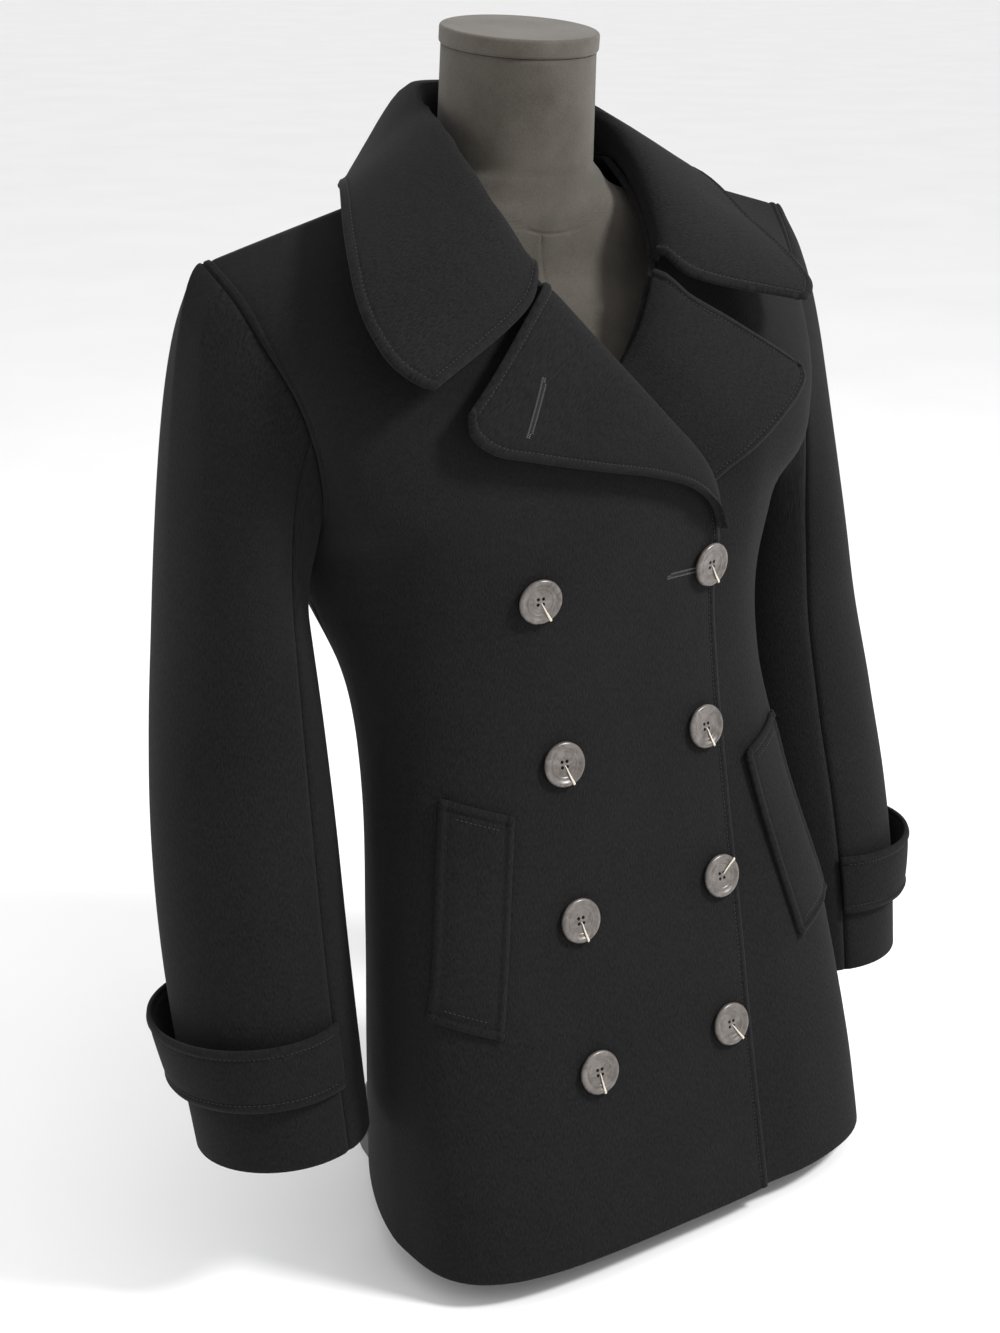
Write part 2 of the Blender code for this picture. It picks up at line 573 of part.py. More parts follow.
def inset_directions(grid, normals):
    """Unit steps from the border of a grid into it, across each border edge, and zero elsewhere."""
    rows, cols = grid.shape[:2]
    border = ([(0, j) for j in range(cols)] + [(i, cols - 1) for i in range(1, rows)]
              + [(rows - 1, j) for j in range(cols - 2, -1, -1)] + [(i, 0) for i in range(rows - 2, 0, -1)])
    points = np.array([grid[i, j] for i, j in border])
    facing = np.array([normals[i, j] for i, j in border])
    middle = {}
    for k, (i, j) in enumerate(border):
        inward = np.array([1 if i == 0 else -1 if i == rows - 1 else 0,
                           1 if j == 0 else -1 if j == cols - 1 else 0])
        middle[k] = grid[i + inward[0], j + inward[1]]
    out = np.zeros_like(grid)
    count = len(border)
    for k, (i, j) in enumerate(border):
        steps = []
        for a, b in ((k - 1, k), (k, k + 1)):
            edge = points[b % count] - points[a % count]
            step = unit(np.cross(facing[k], edge))
            if np.dot(step, middle[k] - points[k]) < 0:
                step = -step
            steps.append(step)
        total = steps[0] + steps[1]
        out[i, j] = total / max(1 + float(np.dot(steps[0], steps[1])), 0.5)
    return out


def sheet_solid(name, outer, inner, outward, material):
    """A closed wall between two grids of the same shape."""
    rows, cols = outer.shape[:2]
    mesh = bmesh.new()
    top = [[mesh.verts.new(outer[i, j]) for j in range(cols)] for i in range(rows)]
    low = [[mesh.verts.new(inner[i, j]) for j in range(cols)] for i in range(rows)]
    for i in range(rows - 1):
        for j in range(cols - 1):
            mesh.faces.new((top[i][j], top[i][j + 1], top[i + 1][j + 1], top[i + 1][j]))
            mesh.faces.new((low[i][j], low[i + 1][j], low[i + 1][j + 1], low[i][j + 1]))
    for i in range(rows - 1):
        mesh.faces.new((top[i][0], top[i + 1][0], low[i + 1][0], low[i][0]))
        mesh.faces.new((top[i][-1], low[i][-1], low[i + 1][-1], top[i + 1][-1]))
    for j in range(cols - 1):
        mesh.faces.new((top[0][j], low[0][j], low[0][j + 1], top[0][j + 1]))
        mesh.faces.new((top[-1][j], top[-1][j + 1], low[-1][j + 1], low[-1][j]))
    finish_mesh(name, mesh, material)


def stack_solid(name, rings, material):
    """A closed solid through rings of points, with flat ends."""
    mesh = bmesh.new()
    loops = [[mesh.verts.new(p) for p in ring] for ring in rings]
    count = len(rings[0])
    for lower, upper in zip(loops[:-1], loops[1:]):
        for k in range(count):
            n = (k + 1) % count
            mesh.faces.new((lower[k], lower[n], upper[n], upper[k]))
    mesh.faces.new(tuple(reversed(loops[0])))
    mesh.faces.new(tuple(loops[-1]))
    return finish_mesh(name, mesh, material)


def finish_mesh(name, mesh, material):
    bmesh.ops.triangulate(mesh, faces=mesh.faces[:])
    bmesh.ops.recalc_face_normals(mesh, faces=mesh.faces[:])
    data = bpy.data.meshes.new(name)
    mesh.to_mesh(data)
    mesh.free()
    data.shade_smooth()
    data.set_sharp_from_angle(angle=math.radians(35))
    data.materials.append(material)
    thing = bpy.data.objects.new(name, data)
    bpy.context.scene.collection.objects.link(thing)
    thing.parent = bpy.data.objects["pea_coat_on_form"]
    return thing


def raised(points):
    """Table heights are above the hem; the row's are above the floor."""
    return points + np.array([0, 0, HEM_HEIGHT])


# ------------------------------------------------------------------ hard pieces
def button(name, place, normal, material):
    """A four-hole button: a dished disc with a raised rim, turned to lie along the cloth."""
    profile = ((0.0, 0.0), (BUTTON_RADIUS * 0.86, 0.0), (BUTTON_RADIUS, BUTTON_THICKNESS * 0.42),
               (BUTTON_RADIUS, BUTTON_THICKNESS * 0.66), (BUTTON_RADIUS - BUTTON_RIM * 0.5, BUTTON_THICKNESS),
               (BUTTON_RADIUS - BUTTON_RIM, BUTTON_THICKNESS - BUTTON_RECESS * 0.3),
               (BUTTON_RADIUS - BUTTON_RIM * 1.5, BUTTON_THICKNESS - BUTTON_RECESS),
               (0.0, BUTTON_THICKNESS - BUTTON_RECESS))
    mesh = bmesh.new()
    verts = [mesh.verts.new((r, 0, z)) for r, z in profile]
    edges = [mesh.edges.new(pair) for pair in zip(verts[:-1], verts[1:])]
    bmesh.ops.spin(mesh, geom=verts + edges, cent=(0, 0, 0), axis=(0, 0, 1), angle=2 * math.pi,
                   steps=BUTTON_SIDES, use_duplicate=False)
    bmesh.ops.remove_doubles(mesh, verts=mesh.verts[:], dist=1e-6)
    bmesh.ops.recalc_face_normals(mesh, faces=mesh.faces[:])
    disc_data = bpy.data.meshes.new(name + "_disc")
    mesh.to_mesh(disc_data)
    mesh.free()
    disc = bpy.data.objects.new(name, disc_data)
    bpy.context.scene.collection.objects.link(disc)
    drill = bmesh.new()
    for quarter in range(4):
        turn = math.radians(45 + 90 * quarter)
        hole = bmesh.ops.create_cone(drill, cap_ends=True, segments=8, radius1=BUTTON_HOLE_RADIUS,
                                     radius2=BUTTON_HOLE_RADIUS, depth=BUTTON_THICKNESS * 3)
        shift = (BUTTON_HOLE_OFFSET * math.cos(turn), BUTTON_HOLE_OFFSET * math.sin(turn), 0)
        bmesh.ops.translate(drill, verts=hole["verts"], vec=shift)
    drill_data = bpy.data.meshes.new(name + "_drill")
    drill.to_mesh(drill_data)
    drill.free()
    cutter = bpy.data.objects.new(name + "_drill", drill_data)
    cutter.hide_render = True
    cutter.display_type = "WIRE"
    bpy.context.scene.collection.objects.link(cutter)
    cut = disc.modifiers.new("holes", "BOOLEAN")
    cut.operation = "DIFFERENCE"
    cut.object = cutter
    disc.data.materials.append(material)
    disc.data.shade_smooth()
    disc.data.set_sharp_from_angle(angle=math.radians(35))
    side = unit(np.cross([0.0, 0.0, 1.0], normal))
    up = np.cross(normal, side)
    turn = Matrix([[*map(float, row)] for row in np.stack([side, up, normal, place], axis=1)]).to_4x4()
    for thing in (disc, cutter):
        thing.parent = bpy.data.objects["pea_coat_on_form"]
        thing.matrix_world = turn


def button_seat(chest, x, height):
    """Where a button's underside lies, clear of the cloth all round, and the way it faces."""
    turn = np.arange(12) * math.pi / 6
    around, _ = chest.at(x + BUTTON_RADIUS * np.cos(turn), height + BUTTON_RADIUS * np.sin(turn))
    middle = around.mean(axis=0)
    normal = np.linalg.svd(around - middle)[2][2]
    normal = normal * -np.sign(normal[1])
    point = chest.at(x, height)[0][0]
    proud = max(((around - point) @ normal).max(), 0.0)
    return point + normal * (proud + BUTTON_LIFT), normal


def form_rings():
    angle = np.arange(FORM_SIDES) * 2 * math.pi / FORM_SIDES
    sine, cosine = np.sin(angle), np.cos(angle)
    heights = column(FORM, FORM_COLUMNS, "height")
    table = np.array([row[1:] for row in FORM])
    levels = np.unique(np.concatenate([heights, (heights[:-1] + heights[1:]) / 2]))
    rings = []
    for height in levels:
        half_x, front_y, back_y, front_n, back_n = hermite(heights, table, height)[0]
        n = np.where(sine < 0, front_n, back_n)
        depth = np.where(sine < 0, NECK_TOP_Y - front_y, back_y - NECK_TOP_Y)
        x = half_x * np.sign(cosine) * np.abs(cosine) ** (2 / n)
        y = NECK_TOP_Y + np.sign(sine) * np.abs(sine) ** (2 / n) * depth
        rings.append(np.stack([x, y, np.full_like(x, height)], axis=1))
    for share in np.linspace(0, 1, NECK_RINGS + 1)[1:]:
        height = heights[-1] + (NECK_TOP - heights[-1]) * share
        radius = NECK_BASE_RADIUS + (NECK_RADIUS - NECK_BASE_RADIUS) * share
        y = NECK_TOP_Y + (NECK_TOP - height) * math.tan(NECK_LEAN) + radius * sine
        rings.append(np.stack([radius * cosine, y, height + radius * sine * math.tan(CAP_TILT * share)],
                              axis=1))
    return rings


def cap_rings():
    """The neck cap: a thin round plate tilted with the neck."""
    angle = np.arange(FORM_SIDES) * 2 * math.pi / FORM_SIDES
    rings = []
    for up, radius in ((0, CAP_RADIUS - CAP_ROUND), (CAP_ROUND, CAP_RADIUS),
                       (CAP_THICKNESS - CAP_ROUND, CAP_RADIUS), (CAP_THICKNESS, CAP_RADIUS - CAP_ROUND)):
        along = up + SEAM_GAP
        y = radius * np.sin(angle) * math.cos(CAP_TILT) - along * math.sin(CAP_TILT)
        z = radius * np.sin(angle) * math.sin(CAP_TILT) + along * math.cos(CAP_TILT)
        rings.append(np.stack([radius * np.cos(angle), NECK_TOP_Y + y, NECK_TOP + z], axis=1))
    return rings


def base_rings(bottom):
    """Base plate with its post, up to the underside of the torso."""
    angle = np.arange(FORM_SIDES) * 2 * math.pi / FORM_SIDES
    rings = []
    for z, radius in ((0, BASE_RADIUS), (BASE_THICKNESS - BASE_ROUND, BASE_RADIUS),
                      (BASE_THICKNESS, BASE_RADIUS - BASE_ROUND), (BASE_THICKNESS, POST_RADIUS),
                      (bottom - SEAM_GAP, POST_RADIUS)):
        rings.append(np.stack([radius * np.cos(angle), radius * np.sin(angle),
                               np.full_like(angle, z)], axis=1))
    return rings


def material(name, colour, roughness):
    made = bpy.data.materials.new(name)
    made.use_nodes = True
    shader = made.node_tree.nodes["Principled BSDF"]
    shader.inputs["Base Color"].default_value = (*colour, 1)
    shader.inputs["Roughness"].default_value = roughness
    shader.inputs["Metallic"].default_value = 0.0
    return made


def build():
    for old in list(bpy.data.objects):
        bpy.data.objects.remove(old)
    root = bpy.data.objects.new("pea_coat_on_form", None)
    bpy.context.scene.collection.objects.link(root)
    wool = material("melton_wool", WOOL, 0.95)
    felt = material("form_cover", FELT, 0.9)
    horn = material("button_horn", HORN, 0.4)
    paint = material("base_paint", PAINT, 0.5)

    right, left, back, front, back_half = body_pieces()
    rings = sleeve_surface(front, back_half)
    fine_rows, knots = front_keys(np.linspace(0, 1, DESIGN_STEPS + 1))
    chest = Chest(hermite(knots, fine_rows, row_levels(DESIGN_STEPS, DESIGN_STEPS)))

    cloth = Pieces()
    cloth.add("front_right", raised(right), WALL["front"])
    cloth.add("front_left", raised(left), WALL["front"])
    cloth.add("back", raised(back), WALL["back"])
    for side in ("right", "left"):
        for part, grid in zip(("topsleeve_", "undersleeve_"), sleeve_pieces(rings)):
            grid = arm_swing(grid)[::-1, ::-1] if side == "left" else mirrored(grid)[::-1]
            cloth.add(part + side, raised(grid), WALL["sleeve"])
    cloth.build(wool)

    for side in ("right", "left"):
        strap = strap_surface(rings)
        strap = arm_swing(strap) if side == "left" else mirrored(strap)[:, ::-1]
        welt = welt_surface(chest)
        welt = swing(welt) if side == "left" else mirrored(welt)[:, ::-1]
        flat = Pieces()
        flat.add("strap_" + side, raised(strap), STRAP_WALL)
        flat.add("welt_" + side, raised(welt), WELT_WALL)
        flat.build(wool)

    trim = Pieces()
    middle = collar_surface(COLLAR_HALF_COLUMNS, COLLAR_ROWS)
    outward = grid_normals(middle)
    trim.add("collar", raised(middle + outward * WALL["collar"] / 2), WALL["collar"])
    for side in ("right", "left"):
        lapel = lapel_surface(chest, side)
        lapel = lapel[:, ::-1] if side == "left" else mirrored(lapel)
        out = grid_normals(lapel)
        sign = -1 if out[2, 2, 1] > 0 else 1
        trim.add("lapel_" + side, raised(lapel + out * sign * WALL["lapel"] / 2), WALL["lapel"], sign)
    trim.build(wool)

    for side, places in (("right", BUTTON_RIGHT_X), ("left", BUTTON_LEFT_X)):
        for number, (x, height) in enumerate(zip(places, BUTTON_HEIGHTS), 1):
            place, normal = button_seat(chest, -x, height)
            button(f"button_{side}_{number}", raised(mirrored(place)), mirrored(normal), horn)

    bottom = FORM[0][0] + HEM_HEIGHT
    stack_solid("dress_form", [raised(ring) for ring in form_rings()], felt)
    stack_solid("neck_cap", [raised(ring) for ring in cap_rings()], felt)
    stack_solid("form_base", base_rings(bottom), paint)


build()
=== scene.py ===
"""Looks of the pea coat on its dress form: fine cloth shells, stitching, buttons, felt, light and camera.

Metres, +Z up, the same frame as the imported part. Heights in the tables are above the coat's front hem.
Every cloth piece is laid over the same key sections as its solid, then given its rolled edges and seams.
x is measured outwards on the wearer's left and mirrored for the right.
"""

import math

import bpy
import numpy as np
from mathutils import Matrix, Vector


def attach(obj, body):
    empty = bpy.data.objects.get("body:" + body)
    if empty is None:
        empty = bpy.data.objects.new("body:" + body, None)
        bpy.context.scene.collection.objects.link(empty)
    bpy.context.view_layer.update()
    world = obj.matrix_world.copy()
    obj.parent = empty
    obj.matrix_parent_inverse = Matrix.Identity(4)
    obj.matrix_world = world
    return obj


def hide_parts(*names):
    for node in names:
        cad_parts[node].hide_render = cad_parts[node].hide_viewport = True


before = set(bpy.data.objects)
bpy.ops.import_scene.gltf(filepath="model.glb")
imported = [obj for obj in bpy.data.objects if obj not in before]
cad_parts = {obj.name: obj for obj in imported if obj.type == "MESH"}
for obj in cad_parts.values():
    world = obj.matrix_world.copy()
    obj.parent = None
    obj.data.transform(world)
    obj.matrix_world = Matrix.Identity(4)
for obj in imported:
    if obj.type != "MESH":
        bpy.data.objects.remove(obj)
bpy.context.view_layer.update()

# ------------------------------------------------------------------ driving sizes
HEM_HEIGHT = 0.020
SEAM_GAP = 0.0003
WALL = {"front": 0.0030, "back": 0.0026, "sleeve": 0.0024, "collar": 0.0042, "lapel": 0.0040}
STRAP_WALL = 0.0036
WELT_WALL = 0.0030

FRONT_EDGE = 0.078          # each front reaches this far past the centre line
OVERLAP_STEP = 0.0042       # the under front lies this far inside the upper one
LAPEL_STEP = 0.0096         # and this far where the left lapel lies between them
OVERLAP_EASE = 0.045        # width over which it comes back out to the common surface
HEM_SWING = 0.17            # the left front flares this much wider at the hem
ARM_SWING = 0.016           # the left sleeve hangs this much wider than the right one

FINE_STEP = 0.0012          # mesh step beside a worked edge
CLOTH_STEP = 0.0055         # mesh step over the open cloth
EDGE_ZONE = 0.0120          # width of the finely stepped band along an edge
SEAM_SHARE = 0.70           # part of each back row that belongs to the shoulder seam's columns
DESIGN_STEPS = 120          # fineness of the surface that laid-on pieces are read from
RIM_STEPS = 4               # faces round a cloth edge, from its face to its back

RIDGE_EASE = 0.020          # the armhole's raised band starts this far above the armpit
STITCH_INSET = 0.0044       # topstitching lies this far inside a rolled edge
STITCH_PITCH = 0.0031
STITCH_LENGTH = 0.0022
STITCH_RADIUS = 0.00032
PURL_PITCH = 0.0011         # buttonhole stitches: spacing, length and thickness
PURL_LENGTH = 0.0017
PURL_RADIUS = 0.00036
BAR_THREADS = 3
SLIT_HALF = 0.0006
LAPEL_HOLE = ((12.0, 37.0), (19.0, 35.0))   # rows and columns of the lapel's grid that it runs between
FRONT_HOLE = (0.036, 0.058, 0.445)          # from x to x, and its height

# ------------------------------------------------------------------ tables of the cut
# Level sections of the body, hem to armpit. side: widest half-width and where it lies; n: squareness.
BODY_COLUMNS = ("height", "side_x", "side_y", "front_y", "back_y", "front_n", "back_n")
BODY = (
    (0.000, 0.177, -0.112, -0.202, 0.118, 3.6, 1.50),
    (0.100, 0.176, -0.105, -0.180, 0.110, 3.6, 1.50),
    (0.200, 0.173, -0.094, -0.160, 0.097, 3.6, 1.50),
    (0.300, 0.160, -0.065, -0.141, 0.085, 3.1, 1.58),
    (0.370, 0.155, -0.040, -0.130, 0.083, 2.8, 1.80),
    (0.425, 0.166, -0.015, -0.124, 0.094, 2.7, 2.20),
    (0.470, 0.182, 0.000, -0.126, 0.106, 2.7, 2.30),
)
# Yoke rows of a front, armpit to shoulder seam: inner end on the roll line or neck seam, outer end on
# the armhole. The inner x is measured outwards, so it is negative past the centre.
YOKE_COLUMNS = ("in_x", "in_y", "in_z", "out_x", "out_y", "out_z", "n")
FRONT_YOKE = (
    (-0.062, -0.127, 0.512, 0.188, -0.050, 0.500, 2.8),
    (-0.020, -0.122, 0.560, 0.194, -0.063, 0.540, 2.7),
    (0.025, -0.103, 0.613, 0.203, -0.053, 0.582, 2.3),
    (0.052, -0.073, 0.655, 0.214, -0.034, 0.613, 1.8),
    (0.062, -0.038, 0.685, 0.223, -0.014, 0.640, 1.4),
    (0.066, -0.004, 0.705, 0.231, 0.008, 0.659, 1.0),
)
# Yoke rows of the back, from the centre back to the armhole.
BACK_YOKE = (
    (0.000, 0.113, 0.512, 0.186, 0.050, 0.500, 2.2),
    (0.000, 0.112, 0.562, 0.191, 0.062, 0.540, 2.1),
    (0.000, 0.105, 0.612, 0.202, 0.058, 0.582, 2.0),
    (0.000, 0.094, 0.652, 0.214, 0.043, 0.613, 1.8),
    (0.000, 0.080, 0.680, 0.224, 0.026, 0.640, 1.5),
)
NAPE = (0.000, 0.067, 0.697)
# Sleeve rings below the armpit: centre, half-width across, half-depth fore and aft, front-up tilt.
SLEEVE_COLUMNS = ("height", "x", "y", "half_x", "half_y", "tilt")
SLEEVE = (
    (0.430, 0.2275, 0.000, 0.0480, 0.060, 0.00),
    (0.360, 0.2285, -0.004, 0.0560, 0.060, 0.00),
    (0.290, 0.2325, -0.016, 0.0610, 0.060, 0.00),
    (0.220, 0.2365, -0.032, 0.0620, 0.060, 0.02),
    (0.150, 0.2375, -0.048, 0.0610, 0.058, 0.04),
    (0.086, 0.2355, -0.060, 0.0590, 0.056, 0.06),
)
SLEEVE_SEAM = 5 / 16        # share of the way round, from the shoulder tip, to each sleeve seam
HEAD_SHARE = 0.24           # share of the sleeve's rows that lie above the first ring

# Collar sections, centre back to the leaf's front edge: neck seam, top of the roll, just past it, edge.
COLLAR = {
    "right": (
        ((0.000, 0.0700, 0.6995), (0.000, 0.074, 0.750), (0.000, 0.084, 0.746), (0.000, 0.116, 0.680)),
        ((0.036, 0.0620, 0.7015), (0.037, 0.063, 0.751), (0.044, 0.071, 0.747), (0.066, 0.101, 0.685)),
        ((0.062, 0.0300, 0.7050), (0.060, 0.029, 0.745), (0.068, 0.034, 0.741), (0.106, 0.052, 0.691)),
        ((0.070, -0.0060, 0.7055), (0.067, -0.008, 0.731), (0.075, -0.009, 0.730), (0.141, -0.009, 0.697)),
        ((0.066, -0.0400, 0.6850), (0.065, -0.043, 0.702), (0.074, -0.049, 0.702), (0.165, -0.056, 0.669)),
        ((0.057, -0.0680, 0.6600), (0.057, -0.071, 0.671), (0.066, -0.079, 0.670), (0.175, -0.092, 0.632)),
        ((0.049, -0.0830, 0.6470), (0.050, -0.087, 0.653), (0.064, -0.102, 0.636), (0.164, -0.129, 0.590)),
    ),
    "left": (
        ((0.000, 0.0700, 0.6995), (0.000, 0.074, 0.750), (0.000, 0.084, 0.746), (0.000, 0.116, 0.680)),
        ((0.036, 0.0620, 0.7015), (0.037, 0.063, 0.750), (0.044, 0.071, 0.745), (0.065, 0.101, 0.685)),
        ((0.062, 0.0300, 0.7050), (0.060, 0.029, 0.741), (0.068, 0.034, 0.735), (0.102, 0.052, 0.690)),
        ((0.070, -0.0060, 0.7055), (0.067, -0.008, 0.726), (0.075, -0.010, 0.724), (0.134, -0.012, 0.691)),
        ((0.066, -0.0400, 0.6850), (0.065, -0.043, 0.699), (0.074, -0.050, 0.697), (0.148, -0.062, 0.660)),
        ((0.057, -0.0680, 0.6600), (0.057, -0.071, 0.671), (0.066, -0.080, 0.668), (0.156, -0.097, 0.638)),
        ((0.049, -0.0830, 0.6470), (0.050, -0.087, 0.653), (0.062, -0.101, 0.640), (0.151, -0.132, 0.617)),
    ),
}
LEAF_ROUNDING = 0.10        # share of the leaf's length over which its tip rounds off
LEAF_TIP = 0.10             # the rounded tip is this share of the leaf's depth shorter
COLLAR_LENGTH = 0.30        # half the collar, centre back to leaf tip, for spacing its mesh
COLLAR_DEPTH = 0.105

# Lapels in front view: x outwards and height of the lower edge, break to tip, and how far the middle
# of the cloth lies off the chest there and at the roll line. The left lapel starts under the right one.
LAPEL = {
    "right": (
        (-0.0745, 0.4740, 0.0060, 0.0023),
        (-0.0650, 0.4910, 0.0090, 0.0023),
        (-0.0450, 0.5075, 0.0110, 0.0023),
        (-0.0120, 0.5200, 0.0115, 0.0023),
        (0.0300, 0.5300, 0.0120, 0.0023),
        (0.0847, 0.5430, 0.0130, 0.0023),
        (0.1110, 0.5500, 0.0145, 0.0023),
        (0.1200, 0.5590, 0.0150, 0.0023),
        (0.1195, 0.5700, 0.0150, 0.0023),
    ),
    "left": (
        (0.0560, 0.4915, -0.0063, -0.0077),
        (0.0800, 0.5085, -0.0012, -0.0072),
        (0.1030, 0.5245, 0.0060, -0.0020),
        (0.1260, 0.5410, 0.0100, 0.0010),
        (0.1425, 0.5530, 0.0120, 0.0030),
        (0.1485, 0.5610, 0.0130, 0.0034),
        (0.1435, 0.5685, 0.0130, 0.0034),
    ),
}
LAPEL_ROLL_START = {"right": 0.474, "left": 0.578}
LAPEL_ROLL_END = 0.640
LAPEL_NOTCH = {"right": (0.0590, 0.6250), "left": (0.0540, 0.6205)}
LAPEL_NOTCH_EASE = 1.3      # how late along the lapel its columns take up the bend at the notch
LAPEL_ROLL_WIDTH = 0.0055
LAPEL_LENGTH = 0.23         # along the roll line and across to the tip, for spacing its mesh
LAPEL_WIDTH = 0.13

# Hand pocket welts: corners in front view, x outwards and height, round from the top inner one.
WELT = ((0.099, 0.307), (0.139, 0.322), (0.166, 0.184), (0.126, 0.167))
WELT_SIZE = (0.043, 0.142)
WELT_STITCH_INSET = 0.0090

# Buttons: x on the wearer's left-right line and height.
BUTTON_HEIGHTS = (0.447, 0.336, 0.231, 0.126)
BUTTON_LEFT_X = (0.070, 0.060, 0.062, 0.058)
BUTTON_RIGHT_X = (-0.070, -0.059, -0.059, -0.057)
BUTTON_RADIUS = 0.0152
BUTTON_THICKNESS = 0.0042
BUTTON_HOLE_RADIUS = 0.0012
BUTTON_HOLE_OFFSET = 0.0026
BUTTON_LIFT = 0.0008
BUTTON_SIDES = 72
# Thread tail of each button, degrees anticlockwise from the button's right as it is worn.
THREAD_TURN = {"right": (-62, -70, -78, -84), "left": (-64, -74, 42, -58)}

# Cuff strap: a band round the outside of the sleeve from the front seam to the back seam.
STRAP_TOP = 0.176
STRAP_BOTTOM = 0.134
STRAP_LOOSE_TOP = 0.012
STRAP_LOOSE_BOTTOM = 0.006
STRAP_REST = 0.0010
STRAP_LENGTH = 0.24

# Dress form: level sections above the front hem, and its neck.
FORM_COLUMNS = ("height", "half_x", "front_y", "back_y", "front_n", "back_n")
FORM = (
    (0.045, 0.094, -0.096, 0.066, 2.2, 1.6),
    (0.060, 0.104, -0.108, 0.074, 2.2, 1.6),
    (0.140, 0.108, -0.108, 0.076, 2.2, 1.6),
    (0.220, 0.102, -0.102, 0.068, 2.2, 1.6),
    (0.300, 0.094, -0.094, 0.058, 2.2, 1.6),
    (0.370, 0.102, -0.095, 0.060, 2.2, 1.8),
    (0.430, 0.124, -0.102, 0.070, 2.2, 2.0),
    (0.490, 0.148, -0.108, 0.082, 2.3, 2.1),
    (0.540, 0.164, -0.100, 0.086, 2.4, 2.2),
    (0.580, 0.172, -0.082, 0.080, 2.4, 2.1),
    (0.610, 0.176, -0.062, 0.070, 2.2, 1.9),
    (0.635, 0.172, -0.045, 0.058, 2.0, 1.8),
    (0.650, 0.164, -0.041, 0.054, 1.9, 1.8),
    (0.662, 0.143, -0.041, 0.053, 1.8, 1.8),
    (0.674, 0.110, -0.042, 0.054, 1.8, 1.9),
    (0.686, 0.0728, -0.042, 0.055, 1.9, 2.0),
    (0.700, 0.0550, -0.043, 0.0585, 2.0, 2.0),
)
NECK_TOP = 0.777
NECK_RADIUS = 0.0505
NECK_BASE_RADIUS = 0.0520
NECK_TOP_Y = 0.003
NECK_LEAN = 0.060
CAP_TILT = 0.109
CAP_THICKNESS = 0.0120
CAP_RADIUS = 0.0520
FORM_STEP = 0.004
FORM_SEAM_DEPTH = 0.0007
FORM_SEAM_WIDTH = 0.0011
NECK_SEAM = (0.662, -0.0425, 0.27, 8.0, 0.697)      # height in front, its y, rise to the back and sides, top
FORM_SEAM_X = -0.012        # the cover's centre front seam has slipped this far to the wearer's right

# ------------------------------------------------------------------ camera and light
CAMERA_PLACE = (-0.8209, -1.1703, 0.8916)
CAMERA_TARGET = (-0.0041, 0.0182, 0.3668)
CAMERA_LENS = 57.57
CAMERA_SENSOR = 36.0


# ------------------------------------------------------------------ small maths
def unit(v):
    return v / np.maximum(np.linalg.norm(v, axis=-1, keepdims=True), 1e-12)


def hermite(knots, values, x):
    """Smooth curve through the rows of values at the knots, read at x."""
    knots = np.asarray(knots, float)
    values = np.asarray(values, float)
    x = np.atleast_1d(np.asarray(x, float))
    steps = np.diff(knots)
    slopes = np.diff(values, axis=0) / steps.reshape((-1,) + (1,) * (values.ndim - 1))
    tangents = np.empty_like(values)
    tangents[0], tangents[-1] = slopes[0], slopes[-1]
    for i in range(1, len(knots) - 1):
        before, after = steps[i - 1], steps[i]
        tangents[i] = (slopes[i - 1] * after + slopes[i] * before) / (before + after)
    i = np.clip(np.searchsorted(knots, x) - 1, 0, len(knots) - 2)
    shape = (-1,) + (1,) * (values.ndim - 1)
    h = steps[i].reshape(shape)
    s = ((x - knots[i]) / steps[i]).reshape(shape)
    return (values[i] * (1 + 2 * s) * (1 - s) ** 2 + tangents[i] * h * s * (1 - s) ** 2
            + values[i + 1] * s * s * (3 - 2 * s) + tangents[i + 1] * h * s * s * (s - 1))


def lengths_along(line):
    return np.concatenate([[0], np.cumsum(np.linalg.norm(np.diff(line, axis=0), axis=1))])


def resample(line, shares):
    """Points of a polyline at the given shares of its length."""
    length = lengths_along(line)
    at = np.asarray(shares) * length[-1]
    return np.stack([np.interp(at, length, line[:, k]) for k in range(3)], axis=1)


def smoothstep(x):
    x = np.clip(x, 0, 1)
    return x * x * (3 - 2 * x)


def column(table, names, name):
    return np.array([row[names.index(name)] for row in table])


def mirrored(points):
    return points * np.array([-1, 1, 1])


def worked_shares(length, fine_start=True, fine_end=True):
    """Shares of a length with fine steps beside its worked ends and open-cloth steps between."""
    fine = max(round(EDGE_ZONE / FINE_STEP), 1)
    start = np.linspace(0, EDGE_ZONE, fine + 1) if fine_start else np.array([0.0])
    end = length - np.linspace(0, EDGE_ZONE, fine + 1)[::-1] if fine_end else np.array([length])
    count = max(round((end[0] - start[-1]) / CLOTH_STEP), 2)
    middle = np.linspace(start[-1], end[0], count + 1)[1:-1]
    return np.concatenate([start, middle, end]) / length


def grid_normals(grid):
    """Outward unit normals of a grid whose rows go up and whose columns go round."""
    along = np.gradient(grid, axis=1)
    up = np.gradient(grid, axis=0)
    return unit(np.cross(along, up))


def smoothed(field, passes):
    """A grid of vectors, averaged with its neighbours; its border is averaged along itself only."""
    for _ in range(passes):
        for axis in (0, 1):
            field = np.swapaxes(field, 0, axis)
            inner = (field[:-2] + 2 * field[1:-1] + field[2:]) / 4
            field = np.swapaxes(np.concatenate([field[:1], inner, field[-1:]]), 0, axis)
    return field


def raised(points):
    """Table heights are above the hem; the row's are above the floor."""
    return points + np.array([0, 0, HEM_HEIGHT])


